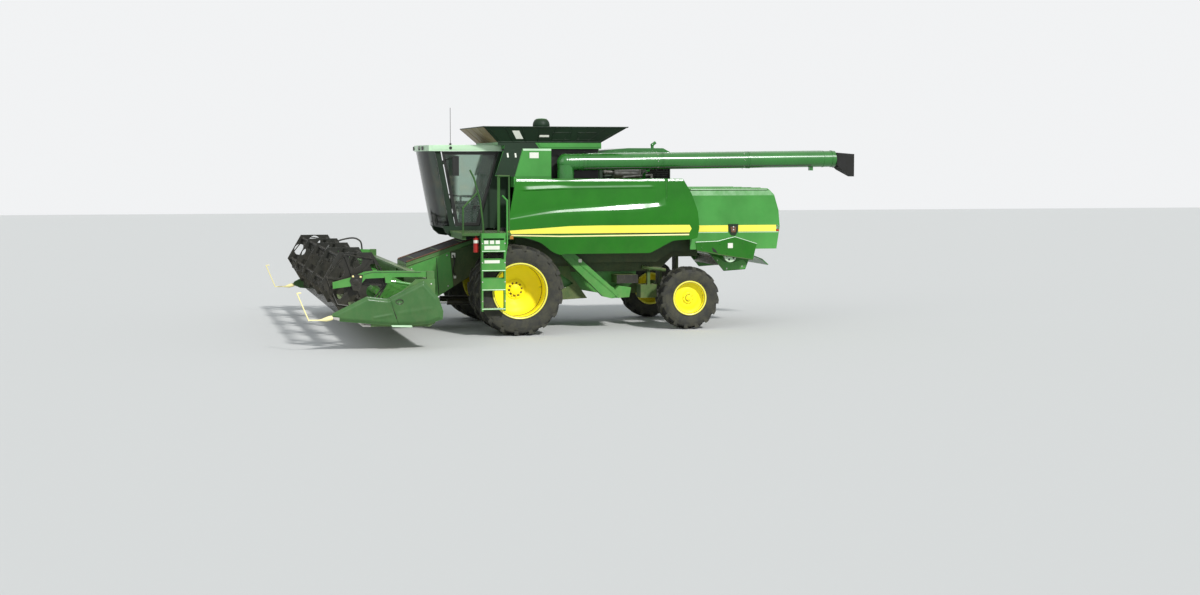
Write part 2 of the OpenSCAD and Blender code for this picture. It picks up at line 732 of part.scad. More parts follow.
// Air cleaner, exhaust and pipes beside the engine
module engine_pipes() {
    front = tank_rear - 380;
    seat = body_top + seat_gap;
    // Heights in the bay as shares of its height
    mid = body_top + bay_h * 0.42;
    high = body_top + bay_h * 0.61;
    low = body_top + bay_h * 0.29;
    cleaner_r = bay_h * 0.217;
    color(steel) {
        for (x = [front - 90, front - 460])
            block([x - 20, 690, seat], [x + 20, 870, mid - cleaner_r * 0.8]);
        translate([front - 550, 780, mid]) rotate([0, 90, 0])
            cylinder(h = 560, r = cleaner_r);
        rail([[front, 780, mid], [front + 190, 780, mid], [front + 190, 500, high],
            [front + 190, 200, high], [front + 105 + seat_gap, 200, high]], 45);
        rail([[front - 620, 560, seat], [front - 620, 560, high], [front - 900, 760, high],
            [front - 1180, 760, mid], [front - 1180, 760, seat]], 38);
        rail([[front - 160, 1010, seat], [front - 160, 1010, low],
            [front - 760, 1010, low + 40], [front - 760, 1010, seat]], 22);
        translate([front - 980, 620, seat]) cylinder(h = deck_under - seat - 40, r = 70);
    }
}

screen_y = 1190;
screen_out_r = (bay_h - 10) / 2;

// Round air intake screen on the right of the engine bay
module rotary_screen() {
    x = tank_rear - 800;
    z = body_top + seat_gap + screen_out_r;
    depth = 130;
    color(black) {
        difference() {
            drum(x, z, -screen_y, depth - screen_y, screen_out_r);
            drum(x, z, -screen_y - 1, depth - screen_y - 40, screen_out_r - 30);
        }
        difference() {
            drum(x, z, -screen_y + 20, -screen_y + 30, screen_out_r - 28);
            for (a = [0 : 20 : 340], t = [0.3, 0.5, 0.72]) let (r = t * screen_out_r)
                drum(x + r * cos(a), z + r * sin(a), -screen_y + 19, -screen_y + 31, r / 9);
        }
        drum(x, z, -screen_y + 26, depth - screen_y - 39, 40);
    }
}

spigot_r = 60;

module auger_turret() {
    top = elbow_z - auger_tube_r - seat_gap;
    low = body_top - 600;
    color(green)
    difference() {
        union() {
            translate([-turret_back, turret_y, low]) cylinder(h = top - low, r = auger_tube_r);
            block([-turret_back - 150, body_y - 60 + seat_gap, low],
                [-turret_back + 150, turret_y, low + 260]);
        }
        translate([-turret_back, turret_y, top - 150])
            cylinder(h = 151, r = spigot_r + running);
    }
}

auger_rings = [0.06, 0.35, 0.67, 0.985];

// Point on the tube's axis at a share t of its length
function auger_at(t) = [-turret_back - t * (auger_end_back - turret_back), turret_y,
    elbow_z + t * auger_rise];

module unloading_auger() {
    end = -auger_end_back;
    color(green) {
        bar([-turret_back, turret_y, elbow_z], [end, turret_y, elbow_z + auger_rise],
            auger_tube_r);
        for (t = auger_rings)
            bar(auger_at(t), auger_at(t + 30 / (auger_end_back - turret_back)),
                auger_tube_r + 9);
        block([auger_at(0.91)[0] - 40, turret_y - 40, auger_at(0.91)[2] - auger_tube_r - 70],
            [auger_at(0.91)[0] + 40, turret_y + 40, auger_at(0.91)[2] - auger_tube_r + 20]);
        translate([-turret_back, turret_y, elbow_z]) sphere(r = auger_tube_r + 6);
        translate([-turret_back, turret_y, elbow_z - auger_tube_r])
            cylinder(h = auger_tube_r, r = auger_tube_r - 5);
        translate([-turret_back, turret_y, elbow_z - auger_tube_r - 140])
            cylinder(h = auger_tube_r, r = spigot_r);
    }
}

module auger_spout() {
    end = -auger_end_back - seat_gap;
    lean = auger_rise / (auger_end_back - turret_back);
    axis_z = elbow_z + auger_rise;
    color(black)
    across(turret_y - auger_tube_r, turret_y + auger_tube_r,
        [[end + 130 * lean, axis_z + 130], [end - spout_l + seat_gap, axis_z + 100],
            [end - spout_l + seat_gap, axis_z - 375], [end - 100, axis_z - 225],
            [end - 125 * lean, axis_z - 125]]);
}

// Cab

post_top = cab_eave;
front_lean = 290;
front_top = 1340;
front_low = front_top - front_lean;
rear_post_top = 150;
rear_post_low = 560;
cab_rear = -85;
roof_rear = 110;
door_hinges = [0.15, 0.85];
screen_bulge = 260;
screen_r = (pow(cab_y, 2) + pow(screen_bulge, 2)) / (2 * screen_bulge);
screen_tilt = atan(front_lean / (post_top - cab_floor));
screen_t = 8;

floor_t = 38;
post_w = 110;

module cab_body() {
    skirt_in = feeder_y + 20;
    color(green) {
        block([cab_rear, -cab_y, cab_floor - floor_t], [front_low + 260, cab_y, cab_floor]);
        both_sides() {
            across(skirt_in, cab_y, [[420, cab_floor - 20], [520, 1960], [1000, 1905],
                [1140, 1925], [1250, 2020], [1310, cab_floor]]);
            across(cab_y - wall_t, cab_y, [[cab_rear, cab_floor - 1],
                [rear_post_low, cab_floor - 1], [rear_post_top, cab_eave],
                [cab_rear, cab_eave]]);
            across(cab_y - wall_t, cab_y, [[front_low + 20, cab_floor - 1],
                [front_low + 20 + post_w, cab_floor - 1], [front_top + 20 + post_w, cab_eave],
                [front_top + 20, cab_eave]]);
        }
        block([cab_rear, -cab_y, cab_floor - 1], [cab_rear + wall_t, cab_y, cab_eave]);
        for (t = door_hinges) hinge_eye(t, false);
    }
}

// Knuckle of a door hinge at a share t of the front post's height, on the leaning
// axis. The door's half carries the pin and the cab's half has its bore.
module hinge_eye(t, on_door) {
    at = [front_low + 14 + front_lean * t, cab_y + 16, cab_floor + (cab_eave - cab_floor) * t];
    half = 40;
    translate(at) rotate([0, screen_tilt, 0]) {
        if (on_door) {
            cylinder(h = half, r = 13);
            translate([0, 0, -half + 6]) cylinder(h = half, r = 6);
            block([-50, -20, 4], [0, -4, half - 4]);
        } else
            difference() {
                union() {
                    translate([0, 0, -half]) cylinder(h = half - 1, r = 13);
                    block([0, -20, -half + 4], [40, -4, -5]);
                }
                translate([0, 0, -half - 1]) cylinder(h = half + 2, r = 6 + running);
            }
    }
}

roof_over = 70;
roof_front = front_top + screen_bulge + 130;
roof_bow = 120;

// Radius of the roof's bowed front edge
roof_r = (pow(cab_y + roof_over, 2) + pow(roof_bow, 2)) / (2 * roof_bow);

module cab_roof() {
    color(light_green)
    intersection() {
        block([roof_rear, -cab_y - roof_over, cab_eave + seat_gap],
            [roof_front, cab_y + roof_over, cab_eave + roof_t]);
        translate([roof_front - roof_r, 0, cab_eave]) cylinder(h = roof_t, r = roof_r);
    }
}

lamp_r = 42;

// Round lamps in the roof's front edge and square ones at the hood's rear corners
module work_lamps() {
    color(steel) {
        for (y = [-640, -380, 380, 640])
            translate([roof_front - roof_r, 0, cab_eave + roof_t / 2])
                rotate([0, 0, asin(y / roof_r)]) translate([roof_r + seat_gap, 0, 0])
                    rotate([0, 90, 0]) cylinder(h = 28, r = lamp_r);
        both_sides()
            block([hood_end + 24, hood_y + seat_gap, 2050], [hood_end + 76, hood_y + 16, 2140]);
    }
}

module roof_antenna() {
    at = [1152, cab_y - 20, cab_eave + roof_t + seat_gap];
    color(black) {
        translate(at) cylinder(h = 40, r = 22);
        translate(at) cylinder(h = 760, r = 5);
    }
}

module cab_glass() {
    color(glass)
    intersection() {
        translate([front_low + 90 + screen_bulge - screen_r, 0, cab_floor])
            rotate([0, screen_tilt, 0])
                translate([0, 0, -600])
                    difference() {
                        cylinder(h = 3000, r = screen_r, $fn = 180);
                        translate([0, 0, -1])
                            cylinder(h = 3002, r = screen_r - screen_t, $fn = 180);
                    }
        block([front_low, -cab_y + wall_t + seat_gap, cab_floor + seat_gap],
            [front_top + 900, cab_y - wall_t - seat_gap, cab_eave - seat_gap]);
    }
}

door_gap = 12;

function door_outline(inset) = [
    [rear_post_low + door_gap + inset, cab_floor + door_gap + inset],
    [front_low + 8 - inset, cab_floor + door_gap + inset],
    [front_top - 8 - inset, cab_eave - door_gap - inset],
    [rear_post_top + door_gap + 6 + inset, cab_eave - door_gap - inset]];

module cab_door() {
    color(black) {
        difference() {
            across(cab_y - wall_t, cab_y, door_outline(0));
            across(cab_y - wall_t - 1, cab_y + 1, door_outline(60));
        }
        for (t = door_hinges) hinge_eye(t, true);
        bar([front_top - 70, cab_y - 5, cab_eave - 180],
            [front_top - 250, cab_y + 240, cab_eave - 120], 10);
        block([front_top - 320, cab_y + 200, cab_eave - 500],
            [front_top - 190, cab_y + 230, cab_eave - 100]);
    }
}

module door_glass() {
    color(glass)
    across(cab_y - wall_t + 12, cab_y - wall_t + 18, door_outline(60));
}

module cab_seat() {
    color(black) {
        block([430, -240, cab_floor], [830, 240, cab_floor + 300]);
        block([400, -260, cab_floor + 300], [900, 260, cab_floor + 430]);
        across(-240, 240, [[400, cab_floor + 400], [520, cab_floor + 400],
            [400, cab_floor + 1120], [300, cab_floor + 1120]]);
        block([1010, -70, cab_floor], [1150, 70, cab_floor + 60]);
        bar([1080, 0, cab_floor + 30], [980, 0, cab_floor + 620], 45);
        bar([984, 0, cab_floor + 600], [978, 0, cab_floor + 640], 200);
    }
}

// Platform, rails and ladder

ladder_y = 2400;

platform_rear = 200;
platform_front = 1180;

module platform() {
    rail_top = platform_top + 1120;
    rail_y = platform_y - 20;
    beam_low = platform_top - 130;
    slab_low = platform_top - 50;
    color(green) {
        block([platform_rear, cab_y + side_gap, slab_low],
            [platform_front, platform_y, platform_top]);
        block([platform_rear, frame_y - 40, frame_z + frame_h + seat_gap],
            [platform_rear + 80, frame_y + 40, beam_low + 1]);
        block([platform_rear, frame_y - 40, beam_low],
            [platform_rear + 80, platform_y - 80, slab_low + 1]);
        block([platform_rear, cab_y + 12, beam_low],
            [platform_front - 20, cab_y + 72, slab_low + 1]);
        block([platform_front - 100, cab_y + 12, beam_low],
            [platform_front - 20, platform_y - 80, slab_low + 1]);
        rail([[750, rail_y, slab_low + 10], [750, rail_y, platform_top + 160],
            [810, rail_y, platform_top + 650], [930, rail_y, platform_top + 1084],
            [1010, rail_y, platform_top + 1242]], rail_r);
        rail([[1150, rail_y, slab_low + 10], [1150, rail_y, platform_top + 500],
            [860, rail_y, platform_top + 800]], rail_r);
        rail([[452, rail_y, slab_low + 10], [452, rail_y, rail_top],
            [230, rail_y, rail_top], [230, rail_y, slab_low + 10]], rail_r);
        rail([[230, rail_y, rail_top], [230, tank_y + 80, rail_top],
            [230, tank_y + 80, slab_low + 10]], rail_r);
        for (x = [platform_rear + 60 : 70 : platform_front - 40])
            block([x, cab_y + 90, platform_top - 1], [x + 12, platform_y - 60, platform_top + 8]);
    }
}

module ladder() {
    rear = 330;
    front = 810;
    outer = ladder_y + 110;
    steps = [550, 930, 1310, 1690];
    color(light_green) {
        for (x = [rear, front - 30])
            block([x, ladder_y - 10, 520], [x + 30, outer, 1985]);
        for (z = steps) {
            block([rear + 5, ladder_y - 10, z], [front - 5, outer, z + 30]);
            if (z > steps[0]) {
                block([rear + 5, outer - 14, z + 29], [front - 5, outer, z + 235]);
                block([rear + 5, ladder_y - 10, z + 29], [front - 5, ladder_y + 4, z + 250]);
            }
        }
        block([rear, platform_y + seat_gap, 1960], [front, outer, platform_top]);
        rail([[rear + 15, ladder_y + 50, 1500], [rear - 35, ladder_y + 90, 1860],
            [rear - 35, ladder_y + 90, 2700], [rear + 60, ladder_y + 90, 2800]], rail_r);
    }
}

// Fire extinguisher under the platform's front corner
module extinguisher() {
    at = [880, platform_y - 90, platform_top - 50 - seat_gap];
    color([0.7, 0.08, 0.06]) {
        translate(at - [0, 0, 60]) cylinder(h = 60, r = 22);
        translate(at - [0, 0, 330]) cylinder(h = 280, r = 55);
    }
}

// Side shields, hinged along their top edge

shield_t = 25;
shield_outline = [[160, 1960], [-60, shield_top], [rear_x + 135, shield_top],
    [rear_x - 50, 2800], [rear_x - 180, 2450], [rear_x - 220, 2100], [rear_x - 180, 1900],
    [rear_x - 87, 1870], [rear_x + 316, 1840], [rear_x + 660, 1676], [rear_x + 870, 1590],
    [-1070, 1590], [-990, 1576], [-845, 1620], [-554, 1827], [-190, 1935]];
// How far the outer face lies in from the shield's half width at each height
shield_bow = [[14, 1560], [0, 1900], [0, shield_top - 470], [7, shield_top - 220],
    [18, shield_top - 40], [28, shield_top + 10]];

module side_shield() {
    color(green) {
        intersection() {
            across(shield_y - 80, shield_y + 1, shield_outline);
            facing(rear_x - 250, 200, concat([for (b = shield_bow) [shield_y - b[0], b[1]]],
                [for (i = [5 : -1 : 0])
                    [shield_y - shield_bow[i][0] - shield_t, shield_bow[i][1]]]));
        }
        for (x = shield_hinges) {
            translate([x - 66, hinge_y, hinge_z]) rotate([0, 90, 0]) cylinder(h = 60, r = 18);
            translate([x - 20, hinge_y, hinge_z]) rotate([0, 90, 0])
                cylinder(h = 75, r = hinge_pin_r);
            block([x - 66, hinge_y, hinge_z - 12], [x - 6, shield_y - 20, hinge_z + 12]);
        }
    }
}

// Feederhouse, header and reel

feeder_y = 700;
throat_y = 620;
pivot = [150, 1950];
pivot_r = 45;
auger_axis = [2450, 850];
trough_gap = 25;
lift_y = 480;
lift_base = [220, 560];
lift_eye = [1480, 570];

throat_back = 1650;
throat_low = 700;
throat_top = 1220;
feeder_front = back_sheet_x - seat_gap;

// Height of the feederhouse's underside near its mouth
function feeder_under(x) = 520 + (feeder_front - x) * 180 / (feeder_front - 1400);

// Part of the feederhouse's form between two corners
module feeder_slice(lo, hi) {
    intersection() {
        across(-feeder_y, feeder_y, [[60, 2030], [120, 2050], [feeder_front, 1400],
            [feeder_front, feeder_under(feeder_front)], [1400, feeder_under(1400)],
            [1150, 860], [-40, 1560], [-60, 1900]]);
        block(lo, hi);
    }
}

module feederhouse() {
    wide = feeder_y + 1;
    high = 2100;
    color(green) {
        difference() {
            feeder_slice([-100, -wide, 0], [throat_back - seat_gap, wide, high]);
            drum(pivot[0], pivot[1], -wide, wide, pivot_r + running);
        }
        feeder_slice([throat_back, -wide, throat_top], [high, wide, high]);
        feeder_slice([throat_back, -wide, 0], [high, wide, throat_low]);
        both_sides()
            feeder_slice([throat_back, throat_y, throat_low + seat_gap],
                [high, wide, throat_top - seat_gap]);
        for (y = [-1, 1] * lift_y, s = [-1, 1])
            across(y + s * 45 - 10, y + s * 45 + 10, [
                [lift_eye[0] - 60, feeder_under(lift_eye[0] - 60) - seat_gap],
                [lift_eye[0] - 50, lift_eye[1] - 50], [lift_eye[0] + 50, lift_eye[1] - 50],
                [lift_eye[0] + 160, feeder_under(lift_eye[0] + 160) - seat_gap]]);
    }
}

floor_front = 3230;
floor_low = 440;
trough_t = 30;
feeder_rear_sprocket = [430, 1760];
feeder_front_sprocket = [1780, 1190];

// Chain drive on the feederhouse's left side, with its shafts and guard strip
module feeder_drive() {
    y0 = feeder_y + seat_gap;
    a = feeder_rear_sprocket;
    b = feeder_front_sprocket;
    color(steel) {
        drum(a[0], a[1], y0, y0 + 70, 30);
        drum(b[0], b[1], y0, y0 + 70, 30);
        drum(a[0], a[1], y0 + 30, y0 + 48, 75);
        drum(b[0], b[1], y0 + 30, y0 + 48, 120);
        belt(a, 75, b, 120, 26, y0 + 24, y0 + 54);
        across(y0, y0 + 22, [[700, 1460], [760, 1500], [1500, 900], [1440, 860]]);
        rail([[1080, y0, 1250], [1080, y0 + 50, 1250], [1165, y0 + 50, 1000],
            [1165, y0, 1000]], 18);
    }
}

// Pulleys and belts that lie behind the side shields
drive_wheels = [[-560, 2180, 120], [-1560, 2080, 230], [-2350, 2480, 190],
    [-2950, 2250, 300], [rear_x + 110, 2560, 150]];
drive_pairs = [[0, 1, 0], [1, 2, 1], [2, 3, 0], [3, 4, 1]];

module side_drives() {
    y0 = body_y - 60 + seat_gap;
    color(black) {
        for (w = drive_wheels) {
            drum(w[0], w[1], y0, y0 + 150, 32);
            for (lane = [0, 1])
                difference() {
                    drum(w[0], w[1], y0 + 30 + 60 * lane, y0 + 60 + 60 * lane, w[2] - 22 * lane);
                    for (a = [0 : 72 : 288])
                        drum(w[0] + w[2] * 0.55 * cos(a), w[1] + w[2] * 0.55 * sin(a),
                            y0 + 29 + 60 * lane, y0 + 61 + 60 * lane, w[2] * 0.19);
                }
        }
        for (d = drive_pairs) let (a = drive_wheels[d[0]], b = drive_wheels[d[1]], lane = d[2])
            belt([a[0], a[1]], a[2] - 22 * lane, [b[0], b[1]], b[2] - 22 * lane, 12,
                y0 + 33 + 60 * lane, y0 + 57 + 60 * lane);
    }
}

// Boxes, gusset plate and shaft under the body's side
module side_boxes() {
    outer = frame_y + 45 + seat_gap;
    hang = frame_z - seat_gap;
    color(green) {
        difference() {
            across(outer, outer + 12, [[-1096, 1300], [-1330, 1300], [-1371, 1108],
                [-1711, 627], [-1096, 597]]);
            across(outer - 1, outer + 13, [[-1140, 1140], [-1420, 940], [-1223, 840]]);
        }
        block([-2714, frame_y - 60 + seat_gap, 950], [-2263, 1240, 1121]);
        block([rear_x + 484, 560, 609], [rear_x + 832, 900, 888]);
        block([rear_x + 620, frame_y - 45, 880], [rear_x + 680, frame_y + 45, hang]);
        block([rear_x + 600, outer, 1196], [rear_x + 660, outer + 70, 1250]);
        bar([rear_x + 820, outer + 50, 1262], [rear_x + 300, outer + 50, 1190], 36);
    }
}

trough_r = flight_r + trough_gap;
trough_steps = [180, 205.5, 231, 256.5, 282];
end_sheet_t = 20;
window_y = throat_y + 20;
window_top = throat_top + 20;
beam_low = 1270;
beam_top = 1310;

// Point of the trough at an angle, on its inner face or out by its thickness
function trough_at(a, out) = auger_axis + (trough_r + out) * [cos(a), sin(a)];

// One strip of the trough between two angles, from y0 to y1
module trough_strip(a0, a1, y0, y1) {
    seam = 0.03;
    across(y0, y1, [trough_at(a0 + seam, 0), trough_at(a1 - seam, 0),
        trough_at(a1 - seam, trough_t), trough_at(a0 + seam, trough_t)]);
}

// The header's frame is welded from sheets and strips that end a seat's width apart
module header_frame() {
    sheet_front = trough_at(180, trough_t)[0] - seat_gap;
    in_y = header_y - end_sheet_t - seat_gap;
    lip = trough_at(trough_steps[4], 0);
    lip_out = trough_at(trough_steps[4], trough_t);
    window_low = trough_at(trough_steps[2], 0)[1];
    color(green) {
        for (i = [2, 3]) trough_strip(trough_steps[i], trough_steps[i + 1], -in_y, in_y);
        both_sides() {
            for (i = [0, 1])
                trough_strip(trough_steps[i], trough_steps[i + 1], window_y, in_y);
            block([back_sheet_x, window_y, 520], [sheet_front, in_y, beam_low - seat_gap]);
        }
        block([back_sheet_x, -window_y + seat_gap, 520],
            [sheet_front, window_y - seat_gap, window_low]);
        block([back_sheet_x, -window_y + seat_gap, window_top],
            [sheet_front, window_y - seat_gap, beam_low - seat_gap]);
        block([back_sheet_x, -in_y, beam_low], [back_sheet_x + 140, in_y, beam_top]);
        across(-in_y, in_y, [[back_sheet_x, 520 - seat_gap], [back_sheet_x, 505],
            [back_sheet_x + 100, floor_low], [lip[0], floor_low], [lip[0], 480]]);
        across(-in_y, in_y, [[lip_out[0] + seat_gap, floor_low], [2700, floor_low],
            [floor_front, 460], [floor_front, 480], [lip[0] + seat_gap, lip[1]],
            lip_out + [seat_gap, 0]]);
        both_sides() {
            difference() {
                across(header_y - end_sheet_t, header_y, [[back_sheet_x, beam_top],
                    [back_sheet_x, 500], [back_sheet_x + 100, floor_low],
                    [floor_front, 460], [floor_front, 640], [2900, 900], [2400, beam_top]]);
                drum(auger_axis[0], auger_axis[1], in_y, header_y + 1, 40 + running);
            }
            drum(reel_cyl_base[0], reel_cyl_base[1], arm_y - 34, header_y - 10, pin_r);
            drum(arm_pivot[0], arm_pivot[1], arm_y - 62, arm_y + 62, pin_r);
            for (s = [-1, 1])
                across(arm_y + s * 50 - 10, arm_y + s * 50 + 10, [
                    [back_sheet_x, beam_top + seat_gap],
                    [back_sheet_x, arm_pivot[1] + 60], [arm_pivot[0] + 60, arm_pivot[1] + 60],
                    [arm_pivot[0] + 60, beam_top + seat_gap]]);
        }
    }
}

module cutterbar() {
    pitch = 76.2;
    n = floor(2 * header_y / pitch) - 1;
    y0 = -n * pitch / 2;
    bar_front = floor_front + 32;
    guards = [for (i = [0 : n - 1]) let (y = y0 + (i + 0.5) * pitch) each [
        [bar_front, y - 22], [bar_front + 83, y - 9], [bar_front + 113, y],
        [bar_front + 83, y + 9], [bar_front, y + 22]]];
    color(steel)
    translate([0, 0, 450]) linear_extrude(26)
        polygon(concat([[floor_front + seat_gap, y0 - 40], [bar_front, y0 - 40]], guards,
            [[bar_front, 40 - y0], [floor_front + seat_gap, 40 - y0]]));
}

divider_in = header_y + 0.3;
divider_out = header_y + divider_t;
divider_tip = 3965;

module crop_dividers() {
    y = (divider_in + divider_out) / 2;
    both_sides() {
        color(light_green)
        across(divider_in, divider_out, [[2267, 1286], [1992, 968], [1907, 717], [1918, 570],
            [2182, 492], [2497, 468], [2871, 476], [3801, 568], [divider_tip, 654],
            [3924, 716], [3308, 1014], [2934, 966]]);
        color(green)
        across(divider_in + 10, divider_out - 10, [[2480, 436], [2850, 450], [2870, 480],
            [2497, 472]]);
        color(cream) {
            bar([divider_tip - 20, y, 640], [4090, y, 600], 30);
            rail([[4080, y, 600], [4353, y, 600], [divider_reach - 15, y, 1097],
                [divider_reach - 90, y, 1097]], 12);
        }
    }
}

flight_pitch = 600;
flight_steps = 14;
flight_t = 8;
flight_start = 640;

// Left half of the flighting, one helical sheet that stands on the tube
module flighting(y0, y1) {
    n = floor((y1 - y0) / flight_pitch * flight_steps);
    foot = (header_tube_r + seat_gap) / cos(180 / flight_steps);
    points = [for (i = [0 : n]) let (a = i * 360 / flight_steps,
            y = y0 + i * flight_pitch / flight_steps)
        each [[foot * cos(a), y, foot * sin(a)], [flight_r * cos(a), y, flight_r * sin(a)],
            [flight_r * cos(a), y + flight_t, flight_r * sin(a)],
            [foot * cos(a), y + flight_t, foot * sin(a)]]];
    sides = [for (i = [0 : n - 1], k = [0 : 3]) let (p = 4 * i + k, q = 4 * i + (k + 1) % 4)
        each [[p, p + 4, q + 4], [p, q + 4, q]]];
    translate([auger_axis[0], 0, auger_axis[1]])
        polyhedron(points = points, faces = concat([[0, 1, 2], [0, 2, 3],
            [4 * n + 2, 4 * n + 1, 4 * n], [4 * n + 3, 4 * n + 2, 4 * n]], sides));
}

module header_auger() {
    end = header_y - 40;
    color(light_green) {
        drum(auger_axis[0], auger_axis[1], -end, end, header_tube_r);
        drum(auger_axis[0], auger_axis[1], -header_y - 0.2, header_y + 0.2, 40);
        both_sides() flighting(flight_start, header_y - 60);
        for (i = [-2 : 2])
            for (a = [0, 120, 240])
                translate([auger_axis[0], i * 240, auger_axis[1]]) rotate([0, a + i * 40, 0])
                    cylinder(h = flight_r, r = 8);
    }
}

// Reel and the arms that carry it

arm_y = header_y - 130;
arm_half = 32;
reel_half = arm_y - arm_half - reel_end_gap;
arm_pivot = [back_sheet_x + 80, 1390];
reel_plate_r = 615;
reel_cyl_base = [2330, 1180];
reel_cyl_eye = [2900, 1290];

// Hose that arches over the right arm
hose_points = [[3080, 1420], [3016, 1599], [2890, 1660], [2763, 1692], [2640, 1712],
    [2532, 1706], [2440, 1660], [2394, 1592], [2375, 1420]];

module reel_arms() {
    color(black)
    rail([for (p = hose_points) [p[0], -arm_y, p[1]]], 13);
    color(green)
    both_sides()
        difference() {
            union() {
                across(arm_y - arm_half, arm_y + arm_half, [[arm_pivot[0] - 50, arm_pivot[1] + 50],
                    [2660, arm_pivot[1] + 72], [reel_x - 290, arm_pivot[1] + 78],
                    [reel_x - 150, arm_pivot[1] + 66], [reel_x + 80, reel_z + 90],
                    [reel_x + 430, reel_z], [reel_x + 420, reel_z - 115],
                    [reel_x + 90, reel_z - 75], [reel_x - 60, reel_z - 70],
                    [reel_x - 170, reel_z + 60], [2700, arm_pivot[1] - 40],
                    [arm_pivot[0] - 50, arm_pivot[1] - 50]]);
                for (s = [-1, 1])
                    across(arm_y + s * 37 - 7, arm_y + s * 37 + 7,
                        [[reel_cyl_eye[0] - 90, arm_pivot[1] + 20],
                        [reel_cyl_eye[0] - 45, reel_cyl_eye[1] - 45],
                        [reel_cyl_eye[0] + 45, reel_cyl_eye[1] - 45],
                        [reel_cyl_eye[0] + 60, arm_pivot[1] - 20]]);
            }
            drum(reel_x, reel_z, arm_y - 40, arm_y + 40, 30 + running);
            drum(arm_pivot[0], arm_pivot[1], arm_y - 60, arm_y + 60, pin_r + running);
        }
}

bat_count = 6;

plate_hole_r = 130;
plate_hole_at = 380;
tine_pitch = 150;
tine_w = 14;

// Row of tines that hangs from a tube, as an outline of y and z from the tube's axis
function comb(half) = let (n = floor(2 * half / tine_pitch), y0 = -n * tine_pitch / 2)
    concat([[-half, 0]], [for (i = [0 : n]) let (y = y0 + i * tine_pitch) each [
        [y - tine_w / 2, -30], [y - tine_w / 4, -tine_l], [y + tine_w / 4, -tine_l],
        [y + tine_w / 2, -30]]], [[half, 0]]);

module reel() {
    color(black) {
        drum(reel_x, reel_z, -reel_half, reel_half, 60);
        drum(reel_x, reel_z, -arm_y - 60, arm_y + 60, 30);
        for (y = [-1, -0.5, 0, 0.5, 1] * (reel_half - 12))
            difference() {
                translate([reel_x, y + 6, reel_z]) rotate([90, 0, 0])
                    cylinder(h = 12, r = reel_plate_r, $fn = 6);
                for (a = [30 : 60 : 330])
                    drum(reel_x + plate_hole_at * cos(a), reel_z + plate_hole_at * sin(a),
                        y - 8, y + 8, plate_hole_r);
            }
        for (i = [0 : bat_count - 1]) let (a = i * 360 / bat_count) {
            x = reel_x + bat_r * cos(a);
            z = reel_z + bat_r * sin(a);
            drum(x, z, -reel_half, reel_half, 20);
            translate([0, 0, z]) facing(x - 5, x + 5, comb(reel_half - 60));
        }
    }
}

// Lift cylinders. A barrel hinges at its base and a rod slides out of it.

// Bored barrel and its base eye, from base towards eye, all in one side plane
module barrel(base, eye, y, r, l, bore, half) {
    a = atan2(eye[1] - base[1], eye[0] - base[0]);
    translate([base[0], y, base[1]]) rotate([0, -a, 0])
        difference() {
            union() {
                rotate([0, 90, 0]) cylinder(h = l, r = r);
                translate([0, half, 0]) rotate([90, 0, 0])
                    cylinder(h = 2 * half, r = pin_r + 22);
            }
            translate([bore_start, 0, 0]) rotate([0, 90, 0])
                cylinder(h = l, r = bore + running);
            translate([0, r + 10, 0]) rotate([90, 0, 0])
                cylinder(h = 2 * r + 20, r = pin_r + running);
        }
}

// Rod whose end eye holds a short pin that stays inside the other piece's ears
module rod(base, eye, y, r, start, half) {
    a = atan2(eye[1] - base[1], eye[0] - base[0]);
    l = norm(eye - base);
    translate([base[0], y, base[1]]) rotate([0, -a, 0]) {
        translate([start, 0, 0]) rotate([0, 90, 0]) cylinder(h = l - start, r = r);
        translate([l, half, 0]) rotate([90, 0, 0]) cylinder(h = 2 * half, r = 1.4 * r + 8);
    }
}

bore_start = 70;

module lift_barrels() {
    color(black)
    for (y = [-1, 1] * lift_y) barrel(lift_base, lift_eye, y, 60, 960, 30, 60);
}

module lift_rods() {
    color(steel)
    for (y = [-1, 1] * lift_y) rod(lift_base, lift_eye, y, 30, 290, 32);
}

module reel_lift_barrels() {
    color(black)
    for (y = [-1, 1] * arm_y) barrel(reel_cyl_base, reel_cyl_eye, y, 30, 430, 14, 24);
}

module reel_lift_rods() {
    color(steel)
    for (y = [-1, 1] * arm_y) rod(reel_cyl_base, reel_cyl_eye, y, 14, 120, 24);
}

placed() main_frame();
placed() front_axle();
placed() rear_axle();
placed() elevators();
placed() separator_body();
placed() straw_hood();
placed() chopper_housing();
placed() chopper_rotor();
placed() grain_tank();
placed() tank_extension();
placed() engine();
placed() engine_deck();
placed() auger_turret();
placed() cab_body();
placed() cab_roof();
placed() cab_glass();
placed() cab_door();
placed() door_glass();
placed() cab_seat();
placed() platform();
placed() ladder();
placed() side_shield();  // side_shield_left
placed() mirror([0, 1, 0]) side_shield();  // side_shield_right
placed() unloading_auger();
placed() auger_spout();
placed() front_tyre_pair();  // front_left_tyres
placed() front_rim_pair();  // front_left_rims
placed() mirror([0, 1, 0]) front_tyre_pair();  // front_right_tyres
placed() mirror([0, 1, 0]) front_rim_pair();  // front_right_rims
placed() knuckle();  // knuckle_left
placed() mirror([0, 1, 0]) knuckle();  // knuckle_right
placed() tie_rod();
placed() rear_tyre();  // rear_left_tyre
placed() rear_rim();  // rear_left_rim
placed() mirror([0, 1, 0]) rear_tyre();  // rear_right_tyre
placed() mirror([0, 1, 0]) rear_rim();  // rear_right_rim
placed() feederhouse();
placed() header_frame();
placed() cutterbar();
placed() crop_dividers();
placed() header_auger();
placed() reel_arms();
placed() reel();
placed() lift_barrels();
placed() lift_rods();
placed() reel_lift_barrels();
placed() reel_lift_rods();
placed() engine_pipes();
placed() rotary_screen();
placed() both_sides() side_drives();
placed() feeder_drive();
placed() work_lamps();
placed() extinguisher();
placed() roof_antenna();
placed() both_sides() side_boxes();
